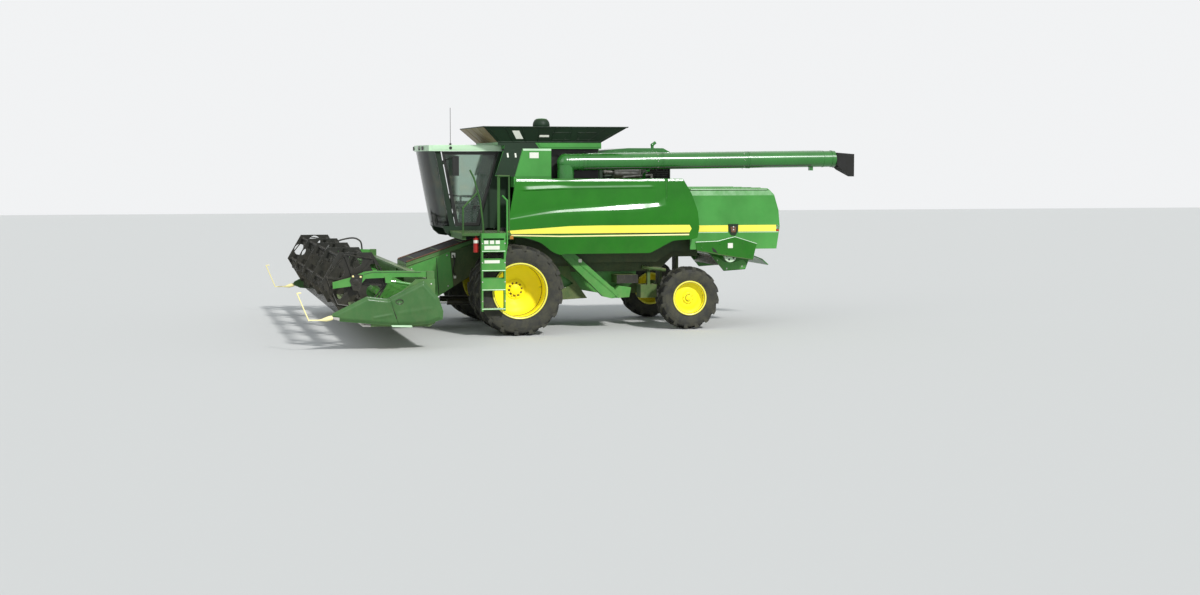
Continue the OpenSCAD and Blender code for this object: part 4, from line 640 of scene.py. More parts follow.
def shield_skin():
    s = Shape()
    # columns lie closer where the outline or the recess turns
    xs = sorted({round(start + step * k, 4) for start, step, count in (
        (-3.918, 0.004, 3), (-3.905, 0.0233, 16), (-3.55, 0.03, 8), (-3.32, 0.012, 20),
        (-3.07, 0.045, 66), (-0.1, 0.02, 13), (0.157, 0, 1)) for k in range(count)})
    rows = []
    for x in xs:
        low, high = flowing(SHIELD_LOW, x), between(SHIELD_HIGH, x)
        ledge = min(max(flowing(LEDGE, x), low + 0.3 * (high - low)), high)
        top = min(max(crease(x), ledge + 0.001), high)
        zs = [low + (ledge - low) * k / 14 for k in range(14)]
        zs += [ledge + (top - ledge) * k / 8 for k in range(8)]
        rib, level = between(RIB, x), top
        for goal, parts in ((rib - 0.045, 6), (rib - 0.02, 4), (rib + 0.072, 8), (3.055, 2),
                (high, 7)):
            goal = max(level + 0.0005, min(goal, high))
            zs += [level + (goal - level) * k / parts for k in range(parts)]
            level = goal
        edges = [[(x, SHIELD_Y - between(BOW, z) - 0.004, z)] for z in (low, high)]
        rows.append(edges[0] + [on_shield(x, z) for z in zs + [level]] + edges[1])
    s.grid("green", rows)
    for row in (rows[0], rows[-1]):
        s.grid("green", [row, [(p[0], 1.6, p[2]) for p in row]])
    shield_strip(s, "stripe_and_highlight", [(-3.9, 2.163), (-2.656, 2.166), (-1.808, 2.167), (-1.178, 2.158),
        (-0.346, 2.104), (0.195, 2.07)], [(-3.9, 2.008), (0.2, 2.008)], -3.751, 0.14, 0.003, 90,
        0.03)
    shield_strip(s, "black", [(-3.9, 2.008), (0.2, 2.02)], [(-3.9, 1.982), (0.2, 1.996)], -3.7,
        0.135, 0.001)
    shield_strip(s, "cream", [(-3.8, 1.979), (-0.969, 1.966), (0.045, 1.992)],
        [(-3.8, 1.95), (-0.969, 1.94), (0.045, 1.968)], -3.7, 0.045, 0.003)
    s.box("amber", (0.004, 1.638, 1.905), (0.11, 1.652, 1.975))
    return s


for side in ("left", "right"):
    shield_skin().on(side).done(f"shield_skin_{side}", f"shield_{side}", "green_paint", angle=30)


# ---- crop dividers

DIVIDER_Y = 4.66      # the divider's outermost plane
DIVIDER_IN = 4.562    # and the inner one of its moulding
POINT_Y = 4.61        # middle of its point and rod
DIVIDER_LOW = [(1.907, 0.716), (1.918, 0.57), (2.182, 0.492), (2.497, 0.468), (2.871, 0.476),
    (3.801, 0.568), (3.965, 0.653)]
DIVIDER_HIGH = [(1.907, 0.718), (1.992, 0.968), (2.267, 1.286), (2.934, 0.966), (3.308, 1.014),
    (3.924, 0.716), (3.965, 0.655)]


def off_line(x, z, a, b):
    """Distance of a point from the stretch between two others."""
    p, a, b = Vector((x, z)), Vector(a), Vector(b)
    t = share(0, (b - a).length_squared, (p - a).dot(b - a))
    return (p - a - (b - a) * t).length


def divider_depth(x, z):
    """How far the divider's side lies inside its outermost plane."""
    rim = min(off_line(x, z, a, b) for line in (DIVIDER_LOW, DIVIDER_HIGH)
        for a, b in zip(line, line[1:]))
    depth = 0.004 + 0.036 * (1 - ease(0, 0.085, rim)) ** 1.6
    depth += 0.01 * ease(2.72, 2.92, x - (z - 0.51) * 0.36 + 0.05)
    # a seam, two ridges, an oval recess and a flat disc
    depth += 0.012 * (1 - ease(0.003, 0.012, off_line(x, z, (2.899, 0.98), (2.735, 0.47))))
    for a, b in (((2.744, 0.691), (2.14, 0.778)), ((3.176, 0.621), (2.871, 0.67))):
        depth -= 0.008 * (1 - ease(0.004, 0.034, off_line(x, z, a, b)))
    oval = hypot((x - 2.717) / 0.07, (z - 0.909) / 0.042)
    depth += 0.016 * (1 - ease(0.8, 1, oval))
    depth += 0.003 * (1 - ease(0.094, 0.098, hypot(x - 2.3145, z - 1.066)))
    return max(0, depth)


def divider_dress():
    s = Shape()

    def on_divider(x, z, lift=0):
        return (x, DIVIDER_Y + lift - divider_depth(x, z), z)

    rows = []
    for x in [1.9072] + spaced(1.91, 0.0115, 179) + [3.9648]:
        low, high = between(DIVIDER_LOW, x), between(DIVIDER_HIGH, x)
        zs = [low + (high - low) * (1 - cos(pi * k / 46)) / 2 for k in range(47)]
        rows.append([(x, DIVIDER_IN, low)] + [on_divider(x, z) for z in zs]
            + [(x, DIVIDER_IN, high)])
    s.grid("divider", rows, close=True)
    # a pale band along the rounded top corner: painted highlight
    corner = [[(v * (1 - 0.7 * t), t) for v in (k / 6 for k in range(7))]
        for t in (k / 24 for k in range(25))]
    s.grid("pale", [[on_divider(2.258 - 0.262 * t + 0.05 * v, 1.262 - 0.305 * t - 0.058 * v,
        -0.0015) for v, t in row] for row in corner])
    seam = [(2.899, 0.975), (2.86, 0.86), (2.815, 0.74), (2.77, 0.62), (2.738, 0.482)]
    s.tube("black", [on_divider(x, z, -0.01) for x, z in seam], 0.012, 8)
    y = on_divider(2.717, 0.909, -0.0015)[1] + 0.012
    s.tube("black", [(2.717 + 0.07 * cos(a), y, 0.909 + 0.044 * sin(a)) for a in turns(24)], 0.008,
        6, closed=True)
    # pale lines along the two ridges: painted highlights
    for (x0, z0), (x1, z1) in (((2.7, 0.698), (2.14, 0.778)), ((3.15, 0.626), (2.9, 0.666))):
        s.tube("pale", [on_divider(x0 + (x1 - x0) * k / 20, z0 + (z1 - z0) * k / 20 + 0.006,
            -0.0055) for k in range(21)], 0.0045, 6)
    s.prism("steel", [(3.81, 0.583), (3.955, 0.628), (3.955, 0.66), (3.81, 0.64)], 4.576, 4.646)
    for x, z in ((2.05, 0.62), (2.45, 0.53), (2.85, 0.54), (3.55, 0.6), (2.1, 0.98), (3.3, 0.95),
            (3.75, 0.72)):
        s.nut("divider", on_divider(x, z, -0.001), 0.007, 0.004)
    s.prism("pale", [(2.48, 0.4361), (2.85, 0.45), (2.87, 0.482), (2.497, 0.474)], 4.572, 4.648)
    # the point's cone and its bent rod
    cone = ((3.93, 0.64, 0.04), (3.99, 0.628, 0.046), (4.05, 0.612, 0.04), (4.12, 0.602, 0.022),
        (4.17, 0.6, 0.012))
    s.rod("cream", POINT_Y, [(x, z) for x, z, r in cone], [r for x, z, r in cone], 14)
    s.rod("cream", POINT_Y, curve(((4.15, 0.6), (4.3, 0.6), (4.353, 0.603), (4.372, 0.63),
        (4.549, 1.06), (4.553, 1.088), (4.535, 1.097), (4.487, 1.097)), 5), 0.0118, 10)
    return s


for side in ("left", "right"):
    piece = divider_dress().on(side).done(f"crop_divider_{side}", "platform_header",
        "divider_paint", angle=30)
    if side == "left":
        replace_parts(piece, "crop_dividers")

# ---- header and reel

BACK_SHEET = (2.028, 2.0495)    # the header's back sheet, from its ribs' backs to its face
END_Y = 4.5605                  # outside of the header's end sheets
SKID = [(2.1, 0.43), (2.55, 0.405), (2.9, 0.42), (3.18, 0.4485), (2.9, 0.45), (2.3, 0.4395)]

s = Shape()
for y in spaced(-4.1, 0.82, 11):
    if abs(y) > 0.75:
        s.prism("shield", [(y - 0.03, 0.6), (y + 0.03, 0.6), (y + 0.018, 1.2), (y - 0.018, 1.2)],
            *BACK_SHEET, "x")
s.box("shield", (2.036, -4.5, 1.175), (2.0495, 4.5, 1.205))
for side in (-1, 1):
    s.nuts("steel", side * END_Y, [(2.12, z) for z in (0.66, 0.86, 1.06, 1.22)], 0.01,
        side * 0.008)
    s.prism("rust_and_shade", SKID, side * 3.9, side * 4.2)
    for y in (2.6, 1.2):
        s.prism("rust_and_shade", SKID, side * y - 0.12, side * y + 0.12)
for y in spaced(-4.42, 0.0762, 117):
    s.prism("steel", [(3.2, y - 0.012), (3.3, y - 0.014), (3.374, y), (3.3, y + 0.014),
        (3.2, y + 0.012)], 0.4765, 0.485, "z")
s.done("header_fittings", "platform_header", "green_paint")

REEL_X, REEL_Z = 3.48, 1.27
BATS = 6
BAT_R = 0.518     # from the reel's axis to a bat's tube
BAT_LEAD = 9      # degrees that the spiders' arms lie ahead of the bats

s = Shape()
for k in range(BATS):
    bat = orbit((REEL_X, 0, REEL_Z), BAT_R, radians(60 * k))
    for y in spaced(-4.2, 0.15, 57):
        s.tube("black", [orbit((bat[0], y - 0.016 + 0.0042 * b, bat[2]), 0.026, b)
            for b in (1.05 * i for i in range(8))], 0.0055, 5)
    for y in (-4.24, -2.144, 0, 2.144, 4.24):
        s.tube("black", [(bat[0], y + v, bat[2]) for v in (-0.03, -0.028, 0.028, 0.03)],
            [0.022, 0.034, 0.034, 0.022])
for side in (-1, 1):
    arms = [radians(60 * k + BAT_LEAD) for k in range(BATS)]
    for c, d in [(cos(a), sin(a)) for a in arms]:
        s.prism("black", [(REEL_X + out * c - half * d, REEL_Z + out * d + half * c)
            for out, half in ((0.05, 0.025), (0.54, 0.018), (0.54, -0.018), (0.05, -0.025))],
            side * 4.31, side * 4.322)
    s.tube("black", [orbit((REEL_X, side * 4.316, REEL_Z), 0.53, a) for a in arms], 0.014, 6,
        closed=True)
    s.lathe("black", (REEL_X, side * 4.33, REEL_Z), [(TIP, side * 0.02), (0.05, side * 0.02),
        (0.085, 0), (0.11, -side * 0.03)], 32)
s.done("reel_tine_springs", "tined_reel", "black_paint")

ARM_Y = 4.43    # middle of a reel arm

s = Shape()
for step in (-1, 1):
    face = step * (ARM_Y + 0.033)
    plate = face + step * 0.012
    s.prism("black", [(3.36, 1.4), (3.55, 1.42), (3.6, 1.3), (3.54, 1.12), (3.42, 1.1),
        (3.38, 1.24)], face, plate)
    s.lathe("black", (REEL_X, plate, REEL_Z), [(0.055, 0), (0.055, step * 0.01),
        (0.03, step * 0.016), (TIP, step * 0.016)], 28)
    s.nuts("cream", plate, ((3.4, 1.365), (3.54, 1.375)), 0.013, step * 0.012)
    s.nuts("black", plate, ((3.56, 1.2), (3.43, 1.15)), 0.013, step * 0.012)
    s.lathe("steel", (2.13, face, 1.39), [(0.034, 0), (0.034, step * 0.026),
        (TIP, step * 0.026)], 20)
    s.rod("black", face + step * 0.004, ((2.3, 1.43), (2.66, 1.44), (3.18, 1.445), (3.34, 1.41)),
        0.004, 6)
# the pressure hose that loops over the right arm
s.rod("hose", -ARM_Y, curve(((3.08, 1.43), (3.016, 1.599), (2.89, 1.66), (2.763, 1.692),
    (2.64, 1.712), (2.532, 1.706), (2.44, 1.66), (2.394, 1.592), (2.375, 1.43)), 4), 0.019, 10)
s.done("reel_arm_fittings", "reel_frame", "black_paint")

# ---- feederhouse

FEEDER_Y = 0.7    # outside of the feederhouse's side sheets

s = Shape()
for side in (-1, 1):
    for line in (((0.2, 1.93), (2.03, 1.345)), ((0.05, 1.52), (1.13, 0.885)),
            ((1.22, 1.56), (1.08, 0.93))):
        s.rod("shield", side * (FEEDER_Y + 0.004), line, 0.012)
    s.nuts("rust_and_shade", side * (FEEDER_Y + 0.002), [(0.2 + 1.83 * t, 1.895 - 0.585 * t)
        for t in spaced(0.06, 0.11, 9)], 0.008, side * 0.007)
# a dark matte sheet along the feederhouse top: dirt, with painted shade
s.prism("spout", [(0.12, 2.06), (2.05, 1.41), (2.05, 1.402), (0.12, 2.052)], -0.69, 0.69)
for t in (0.12, 0.38, 0.64, 0.9):
    x, z = 0.12 + 1.93 * t, 2.056 - 0.65 * t
    s.tube("under", [(x, -0.69, z), (x, 0.69, z)], 0.012, 8)
for y in (0.66, -0.66):
    s.rod("rust_and_shade", y, ((0.1, 2.072), (2.04, 1.418)), 0.016)
# guards over the drive on the left side, the rear one under the cab in darker green as painted
# shade, a lever and two white tags
s.prism("light", [(2.03, 1.31), (1.16, 1.622), (1.09, 0.905), (1.4, 0.712), (2.03, 0.58)], 0.7085,
    0.779)
s.prism("shade", [(1.155, 1.622), (0.2, 1.893), (0.03, 1.87), (0.03, 1.56), (1.085, 0.91)], 0.7085,
    0.777)
s.rod("black", 0.78, ((1.44, 1.5), (1.395, 0.74)), 0.007, 6)
s.tube("black", curve([(1.1, 0.8, 1.56), (1.07, 0.806, 1.42), (1.11, 0.806, 1.25),
    (1.06, 0.8, 1.13)], 5), 0.016, 8)
s.box("white", (1.05, 0.779, 1.5), (1.125, 0.8, 1.6))
s.box("white", (1.035, 0.779, 1.075), (1.085, 0.796, 1.13))
s.nuts("steel", 0.779, ((1.95, 1.28), (1.95, 0.68), (1.22, 1.55), (1.2, 0.92), (0.25, 1.84),
    (0.12, 1.6)), 0.01, 0.008)
s.done("feederhouse_trim", "platform_header", "green_paint", 0.002)

# ---- straw hood and chopper

HOOD_Y = 1.4005    # just outside the hood's side sheets
HOOD_BACK = [(1.64, -5.7), (2.111, -5.77), (2.45, -5.74), (2.78, -5.64), (2.91, -5.52)]

s = Shape()
for look, outline, lo, hi in (
        ("stripe_and_highlight", rect(-4.627, 2.006, -3.968, 2.142), HOOD_Y, 1.404),
        ("stripe_and_highlight", rect(-5.688, 2.006, -4.847, 2.142), HOOD_Y, 1.404),
        ("pale", rect(-4.62, 1.985, -3.95, 2), HOOD_Y, 1.405),
        ("pale", rect(-5.74, 1.985, -4.85, 2), HOOD_Y, 1.405),
        ("dark", [(-4.847, 2.165), (-4.627, 2.165), (-4.64, 2.02), (-4.7, 1.93), (-4.79, 1.93),
                  (-4.835, 2.02)], HOOD_Y, 1.42),
        ("rust_and_shade", [(-4.8, 2.11), (-4.67, 2.11), (-4.69, 1.99), (-4.78, 1.99)], 1.42, 1.43),
        ("red", rect(-5.748, 2.01, -5.692, 2.045), HOOD_Y, 1.412)):
    s.prism(look, outline, lo, hi)
s.nuts("steel", 1.43, ((-4.735, 2.045), (-4.735, 2.105)), 0.012, 0.01)
s.nuts("light", HOOD_Y, [(x, z) for x in (-3.95, -4.5, -5.1, -5.62) for z in (1.72, 2.24)], 0.008,
    0.005)
# a pale line along the hood's top edge: painted highlight
s.rod("pale", 1.336, ((-3.83, 2.889), (-5.5, 2.889)), 0.008)
s.mirrored()
for z in spaced(2.18, 0.085, 7):
    x = between(HOOD_BACK, z) - 0.001
    s.tube("light", [(x, -1.12, z), (x, 1.12, z)], 0.01, 6)
for y in (-0.93, -0.31, 0.31, 0.93):
    s.rod("light", y, ((-3.86, 2.9115), (-5.5, 2.9115)), 0.011, 6)
    s.rod("light", y, [(between(HOOD_BACK, z) - 0.001, z) for z in (2.02, 1.9, 1.75, 1.66)],
        0.008, 6)
for side in (-1, 1):
    s.prism("red", rect(side * 1.1, 1.86, side * 1.3, 2.02), -5.768, -5.735, "x")
    s.prism("amber", rect(side * 1.1, 1.78, side * 1.3, 1.85), -5.748, -5.722, "x")
s.done("hood_trim", "chassis", "light_green_paint", 0.0015)

CHOPPER_Y = 1.412    # outside of the chopper's guards

s = Shape()
s.rod("pale", 1.413, ((-3.914, 1.793), (-4.4, 1.81), (-4.774, 1.898), (-5.26, 1.748)), 0.008)
s.rod("under", 1.413, ((-5.172, 1.412), (-4.555, 1.507), (-3.95, 1.617)), 0.008)
s.prism("white", rect(-4.73, 1.66, -4.62, 1.766), CHOPPER_Y, 1.4145)
s.prism("black", [(-4.27, 1.686), (-4.357, 1.623), (-4.401, 1.549), (-4.291, 1.592)], CHOPPER_Y,
    1.4135)
s.nuts("green", 1.4118, ((-4.05, 1.74), (-4.45, 1.75), (-4.95, 1.77), (-5.12, 1.5), (-4.6, 1.56),
    (-4.05, 1.66)), 0.012, 0.008)
s.mirrored()
s.done("chopper_guard_trim", "chassis", "green_paint", 0.001)

s = Shape()
s.lathe("pale", (-4.7, 1.3405, 1.5), [(0.136, 0), (0.132, 0.004), (0.12, 0), (0.06, -0.004),
    (0.052, 0.01), (0.03, 0.014), (TIP, 0.014)], 40)
for a in turns(5):
    s.lathe("black", orbit((-4.7, 1.3408, 1.5), 0.088, a), [(0.022, 0), (0.02, 0.001),
        (TIP, 0.001)], 16)
s.done("chopper_sheave_face", "chopper", "bare_steel")

s = Shape()
s.prism("light", [(-4.42, 1.478), (-4.5, 1.385), (-4.6, 1.27), (-4.71, 1.165), (-5.17, 1.195),
    (-5.215, 1.29), (-5.12, 1.39), (-4.9, 1.33), (-4.7, 1.35), (-4.56, 1.45)], 0.9003, 0.908)
s.nuts("steel", 0.908, ((-5.1, 1.24), (-4.76, 1.2), (-4.55, 1.38)), 0.011, 0.008)
s.mirrored()
s.done("chopper_side_plates", "chassis", "green_paint", 0.001)

# ---- tank and extension

TANK_Y = 1.2502    # just outside the tank's side sheets

s = Shape()
for look, outline, lo, hi in (
        ("light", [(-0.279, 3.725), (-0.864, 3.725), (-0.864, 3.158), (-0.115, 3.158)],
         TANK_Y, 1.262),
        ("pale", [(-0.285, 3.688), (-0.866, 3.688), (-0.866, 3.73), (-0.275, 3.73)],
         TANK_Y, 1.266),
        ("white", rect(-0.605, 3.537, -0.415, 3.654), 1.262, 1.264),
        ("dark", [(0.238, 3.8), (0.238, 3.858), (-0.53, 3.858), (-0.62, 3.735), (-0.27, 3.735),
                  (-0.105, 3.162), (0.16, 3.18), (0.12, 3.66), (0.098, 3.796)],
         1.2503, 1.256),
        ("dark", [(-0.1, 3.19), (0.292, 3.19), (0.125, 3.682), (0.09, 3.7), (-0.1, 3.7)],
         TANK_Y, 1.2562),
        ("white", [(0.012, 3.552), (0.048, 3.552), (0.058, 3.64), (0.026, 3.64)],
         1.256, 1.2575),
        ("white", [(-0.15, 3.552), (-0.114, 3.552), (-0.104, 3.64), (-0.136, 3.64)],
         1.256, 1.2575),
        ("light", [(-0.64, 3.762), (-1.92, 3.762), (-1.92, 3.84), (-0.59, 3.84)],
         TANK_Y, 1.262)):
    s.prism(look, outline, lo, hi)
s.nuts("light", 1.262, [(x, 3.8) for x in (-0.95, -1.25, -1.55, -1.85)], 0.009, 0.006)
# a black sheet over the narrow wall of the tank's waist: painted shade
s.box("black", (-1.915, 1.0402, 2.96), (-0.875, 1.046, 3.725))
# plates and ribs that lean with the extension's side, which rises from z 3.86 to 4.18
SLANT = Vector((0, 0.2, 0.32))
FACE = Vector((0, 0.848, -0.53))


def on_slant(x, z, lift=0.002):
    return Vector((x, 1.25, 3.86)) + SLANT * ((z - 3.86) / 0.32) + FACE * lift


for lift, outline in (
        (0.004, [(-0.029, 4.092), (-0.174, 4.093), (-0.278, 3.93), (-0.132, 3.93)]),
        (0.006, [(-0.607, 3.968), (-0.606, 4.006), (-0.806, 4.006), (-0.805, 3.968)])):
    n = len(outline)
    s.add("white", [on_slant(x, z, out) for out in (0, lift) for x, z in outline],
        [(i, (i + 1) % n, n + (i + 1) % n, n + i) for i in range(n)] + [list(range(n, 2 * n))])
for x0, x1 in ((-0.88, -1.26), (-1.4, -1.78)):
    s.tube("dark", [on_slant(x, z) for x, z in ((x0, 4.06), (x1, 4.06), (x1, 3.915), (x0, 3.915))],
        0.006, 6, closed=True)
for t in spaced(0.03, 0.1175, 9):
    s.tube("dark", [on_slant(0.24 - 2.165 * t, 3.87), on_slant(0.57 - 3.03 * t, 4.17)], 0.009, 6)
s.tube("dark", [on_slant(0.245, 3.868), on_slant(-1.92, 3.868)], 0.012, 8)
s.tube("dark", [on_slant(0.548, 4.168, 0), on_slant(-2.44, 4.168, 0)], 0.012, 8)
s.mirrored()
skin = [(0.247 + 0.33 * t, 1.24 + 0.2 * t, 3.862 + 0.312 * t) for t in (0, 0.5, 0.97)]
s.grid("tan", [[(x, y * v, z) for v in (-1, -0.5, 0, 0.5, 1)] for x, y, z in skin])
for v in (-0.5, 0, 0.5):
    s.tube("tan", [(x, y * v, z) for x, y, z in skin], 0.008, 6)
for x in (0.56, -2.448):
    s.tube("dark", [(x, -1.43, 4.172), (x, 1.43, 4.172)], 0.011, 8)
s.lathe("dark", (-0.93, 0, 4.19), [(0.177, 0), (0.18, 0.004), (0.18, 0.06), (0.172, 0.1),
    (0.15, 0.142), (0.118, 0.172), (0.07, 0.186), (TIP, 0.19)], 40, "z")
s.done("tank_trim", "chassis", "light_green_paint", 0.001)

# ---- ladder and platform

s = Shape()
for x, z, dx, dz in ((0.445, 1.848, 0.085, 0.07), (0.56, 1.848, 0.085, 0.07),
        (0.675, 1.848, 0.085, 0.07), (0.45, 1.738, 0.305, 0.077), (0.45, 1.47, 0.305, 0.06)):
    s.box("white", (x, 2.51, z), (x + dx, 2.512, z + dz))
for z in (0.58, 0.96, 1.34, 1.72):
    for x in spaced(0.352, 0.0335, 14):
        s.prism("steel", [orbit((x, 0, 2.452), 0.01, a)[::2] for a in turns(8)], z - 0.001,
            z + 0.006, "z", 0.8)
    s.rod("pale", 2.507, ((0.336, z - 0.014), (0.804, z - 0.014)), 0.009)
s.nuts("steel", 2.5095, [(x, z) for z in (0.72, 1.1, 1.48, 1.86) for x in (0.345, 0.795)], 0.009,
    0.006)
s.done("ladder_plates", "chassis", "light_green_paint")

s = Shape()
for k in range(12):
    for j in range(16):
        x, y = 0.27 + 0.075 * k, 1.02 + 0.083 * j
        turn = 0.02 if (k + j) % 2 else -0.02
        s.prism("steel", [(x - 0.016, y - turn - 0.003), (x + 0.016, y + turn - 0.003),
            (x + 0.016, y + turn + 0.003), (x - 0.016, y - turn + 0.003)], 2.0605, 2.064, "z")
s.done("platform_tread", "chassis", "green_paint")

# ---- underbody, engine bay and auger

s = Shape()
for d in (0, 0.13):
    s.rod("light", 1.292, ((-1.318 - d, 1.487 - d), (-2.167 - d, 0.773 - d)), 0.008)
s.box("white", (-1.5, 1.288, 1.395), (-1.43, 1.296, 1.465))
s.box("black", (-2.716, 1.238, 0.948), (-2.261, 1.242, 1.123))
for x in spaced(-2.7, 0.11, 4):
    s.box("black", (x, 1.242, 0.965), (x + 0.06, 1.245, 1.105))
for look, r, ends in (("black", 0.0368, (0, 0.99)), ("white", 0.0378, (0.02, 0.07)),
        ("white", 0.0378, (0.11, 0.3)), ("white", 0.0378, (0.34, 0.95))):
    s.rod(look, 0.8803, [(-2.88 - 0.52 * t, 1.262 - 0.072 * t) for t in ends], r, 20)
s.mirrored()
s.done("underbody_trim", "chassis", "green_paint")

s = Shape()
s.box("black", (-3.48, 0.905, 2.955), (-2.93, 0.925, 3.63))
for z in spaced(2.985, 0.043, 15):
    s.prism("black", [(0.925, z), (0.945, z - 0.016), (0.949, z - 0.012), (0.929, z + 0.006)],
        -3.465, -2.945, "x")
for x in (-3.48, -3.212, -2.944):
    s.box("black", (x, 0.925, 2.955), (x + 0.014, 0.952, 3.63))
s.mirrored()
s.done("engine_side_screens", "chassis", "black_paint")


def on_auger(t, y=0, z=0):
    """Point at a share of the auger's length, moved off its axis."""
    return Vector((-1.15, 1.34, 3.455)).lerp(Vector((-7, 1.34, 3.53)), t) + Vector((0, y, z))


s = Shape()
for t in (0.045, 0.075, 0.345, 0.665, 0.955):
    s.lathe("tube", on_auger(t), [(0.168, -0.016), (0.176, -0.012), (0.176, 0.012),
        (0.168, 0.016)], 40, "x")
for t in (0.33, 0.65):
    for a in turns(8):
        s.nut("steel", on_auger(t, 0.181 * cos(a), 0.181 * sin(a)), 0.008, 0.01, "x")
s.tube("tube", [on_auger(t, 0, 0.172) for t in (0.08, 0.3, 0.6, 0.95)], 0.006, 6)
s.tube("hose", curve([on_auger(t, 0.118, -0.128) for t in (0.06, 0.2, 0.4, 0.6, 0.8, 0.905)], 4),
    0.009, 8)
s.done("auger_bands", "unloader", "green_paint", 0.001)

s = Shape()
for x, top, low, half in ((-7.03, 3.65, 3.35, 0.168), (-7.12, 3.64, 3.3, 0.164),
        (-7.21, 3.628, 3.255, 0.16), (-7.3, 3.615, 3.21, 0.156)):
    s.tube("spout", [(x, 1.34 + half * v, z) for v, z in (
        (-1, top - 0.03), (-0.8, top), (0.8, top), (1, top - 0.03), (1, low), (-1, low))],
        0.01, 6, closed=True)
s.done("spout_folds", "unloader", "black_rubber")

# ---- cab


def cushion(s, at, half, lean, channels, crown=0.02, steps=40):
    """Crowned pad with rounded corners and sewn channels; lean tips it back about y."""

    def soft(c, e):
        return copysign(abs(c) ** e, c)

    rows = []
    for v in [pi * (i / steps - 0.5) for i in range(steps + 1)]:
        rows.append([])
        for h in turns(2 * steps):
            x = soft(cos(v), 0.42) * soft(cos(h), 0.42)
            y = soft(cos(v), 0.42) * soft(sin(h), 0.42)
            z = soft(sin(v), 0.6)
            swell = crown * (1 - x * x) * (1 - y * y)
            for c in channels:
                swell -= 0.01 * exp(-((x - c) / 0.05) ** 2) * (abs(y) < 0.86)
            swell -= 0.008 * exp(-((abs(y) - 0.72) / 0.05) ** 2)
            pull = 1 - 0.05 * (1 - z * z) * (1 - (x * y) ** 2)
            p = Vector((x * half[0] * pull, y * half[1] * pull,
                z * half[2] + (swell if z > 0 else 0)))
            rows[-1].append(Matrix.Rotation(lean, 3, "Y") @ p + Vector(at))
    s.grid("seat", rows, close=True)


for name, at, half, lean, channels in (
        ("seat_cushion", (0.65, 0, 2.512), (0.245, 0.252, 0.05), 0.02, (-0.35, 0.25)),
        ("seat_back", (0.402, 0, 2.9), (0.335, 0.232, 0.048), radians(-98),
         (-0.45, 0, 0.45))):
    s = Shape()
    cushion(s, at, half, lean, channels)
    s.done(name, "chassis", "seat_cloth", angle=70)

s = Shape()
# bellows under the seat, its pan, back, arm rests and side console
for z in spaced(2.18, 0.042, 6):
    for outline, low, high, taper in ((rect(0.44, -0.23, 0.82, 0.23), 0, 0.021, 0.94),
            (rect(0.452, -0.219, 0.808, 0.219), 0.021, 0.042, 1.06)):
        s.prism("hose", outline, z + low, z + high, "z", taper)
s.box("black", (0.43, -0.24, 2.1503), (0.83, 0.24, 2.18))
s.box("black", (0.42, -0.225, 2.432), (0.88, 0.225, 2.462))
s.prism("black", [(0.355, 2.5), (0.41, 2.47), (0.345, 3.2), (0.318, 3.21)], -0.205, 0.205)
for y in (-0.261, 0.261):
    s.rod("black", y, ((0.4, 2.66), (0.46, 2.74), (0.74, 2.745)), [0.016, 0.024, 0.022], 10)
s.box("black", (0.56, -0.42, 2.56), (0.86, -0.3, 2.64))
s.box("black", (0.6, -0.4, 2.1503), (0.76, -0.32, 2.56))
s.prism("hose", [orbit((0.74, 0, -0.36), 0.018, a)[::2] for a in turns(12)], 2.64, 2.76, "z", 1.3)
# steering column and wheel
s.prism("black", [(1.01, 2.1503), (1.15, 2.1503), (1.13, 2.24), (1.03, 2.24)], -0.07, 0.07)
s.rod("black", 0, ((1.08, 2.2), (1.03, 2.47), (0.992, 2.7), (0.982, 2.755)),
    [0.05, 0.045, 0.038, 0.03], 16)
tilt = Matrix.Rotation(radians(-9.5), 3, "Y")


def on_wheel(r, a=0, up=0):
    return Vector((0.981, 0, 2.77)) + tilt @ Vector((r * cos(a), r * sin(a), up))


s.tube("hose", [on_wheel(0.186, a) for a in turns(40)], 0.0135, closed=True)
for a in (0.5, 2.6, 4.7):
    s.tube("black", [on_wheel(0), on_wheel(0.18, a)], 0.011, 8)
s.tube("black", [on_wheel(0, up=-0.016), on_wheel(0, up=0.018)], [0.05, 0.042], 20)
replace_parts(s.done("seat_base_and_column", "chassis", "black_paint", 0.002), "cab_seat")

ROOF_Z = 3.8    # top of the cab's roof

s = Shape()
for side, y0, y1 in ((-1, -0.974, -0.97), (1, 0.97, 0.974)):
    s.box("pale", (0.115, y0, 3.712), (1.54, y1, 3.79))
    s.lathe("black", (1.163, side * 0.974, 3.745), [(0.032, 0), (0.03, side * 0.008),
        (TIP, side * 0.01)], 20)
    for y in (0.28, 0.56, 0.8):
        s.tube("pale", [(x, side * y, ROOF_Z + 0.0005) for x in (0.2, 1.46)], 0.008, 6)
s.tube("pale", [(0.2, y, ROOF_Z + 0.0005) for y in (-0.8, 0.8)], 0.008, 6)
s.box("dark", (0.3, -0.42, ROOF_Z + 0.0003), (0.78, 0.42, 3.812))
for x in spaced(0.335, 0.048, 9):
    s.box("black", (x, -0.38, 3.812), (x + 0.016, 0.38, 3.815))
s.done("roof_trim", "chassis", "light_green_paint", 0.0015)

s = Shape()
s.tube("hose", [(0.56, 0.904, 2.56), (0.56, 0.936, 2.565), (0.66, 0.936, 2.575),
    (0.66, 0.904, 2.58)], 0.01, 8)
s.box("black", (0.64, 0.901, 2.5), (0.7, 0.916, 2.56))
s.done("door_handle", "door", "black_paint", 0.001)

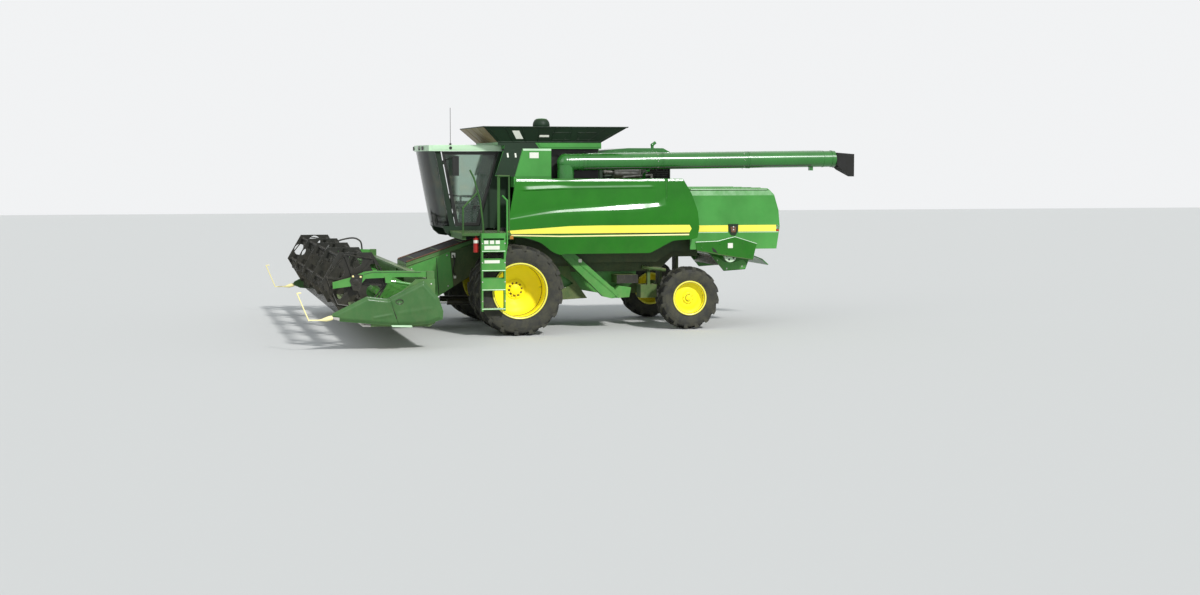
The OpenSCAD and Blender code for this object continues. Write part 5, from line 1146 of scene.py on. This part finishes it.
s = Shape()
s.lathe("black", (0.88, 2.29, 2.01), [(0.03, -0.004), (0.028, 0.01), (0.014, 0.016),
    (0.014, 0.03)], 20, "z")
s.rod("black", 2.29, ((0.88, 2.03), (0.93, 2.045)), 0.007)
s.lathe("white", (0.88, 2.29, 1.89), [(0.0556, -0.03), (0.056, -0.028), (0.056, 0.028),
    (0.0556, 0.03)], 28, "z")
s.done("extinguisher_valve", "chassis", "red_paint")

# ---- camera, floor, light

CAMERA_AT = (8.407, 36.945, 3.4)    # where the photo was taken from
CAMERA_AIM = (-0.2419, -0.9703)     # the direction it looks in, seen from above
CAMERA_FALL = radians(4.26)         # and how far below the horizon
FLOOR_HALF = 90

lens = given(bpy.data.cameras.new("photo_camera"), lens=53.4, sensor_width=36, clip_end=500)
bpy.context.scene.camera = placed("photo_camera", lens, CAMERA_AT,
    (*CAMERA_AIM, -tan(CAMERA_FALL)))

floor_mesh = bpy.data.meshes.new("studio_floor")
floor_mesh.from_pydata([(x, y, 0) for x, y in rect(-FLOOR_HALF, -FLOOR_HALF, FLOOR_HALF,
    FLOOR_HALF)], [], [(0, 1, 2, 3)])
floor_mesh.materials.append(material("floor_paint").shader(
    Base_Color=(0.62, 0.62, 0.6, 1), Roughness=0.9, Specular_IOR_Level=0.1))
placed("studio_floor", floor_mesh, (0, 0, -0.001))

# the world lights the object with one tone and shows the camera and mirrors another
world = Nodes(bpy.data.worlds.new("studio"))
bpy.context.scene.world = world.owner
back = world.fill(world.tree.nodes["Background"], Color=(0.86, 0.93, 1, 1), Strength=0.55)
seen = world.fill(world.new("Background"), Color=(0.93, 0.94, 0.95, 1), Strength=0.95)
path = world.new("LightPath").outputs
either = world.math("MAXIMUM", path["Is Camera Ray"], path["Is Glossy Ray"])
blend = world.new("MixShader")
for socket, value in enumerate((
        world.math("MAXIMUM", either, path["Is Transmission Ray"]), back[0], seen[0])):
    world.put(blend.inputs[socket], value)
world.put(world.tree.nodes["World Output"].inputs["Surface"], blend.outputs[0])

for name, at, energy, angle in (("key_light", (-9, 28, 23), 3, 5),
        ("fill_light", (22, 14, 12), 0.45, 40)):
    sun = given(bpy.data.lights.new(name, "SUN"), energy=energy, angle=radians(angle))
    placed(name, sun, at, Vector((0, 0, 1)) - Vector(at))

bpy.context.scene.view_settings.view_transform = "Standard"
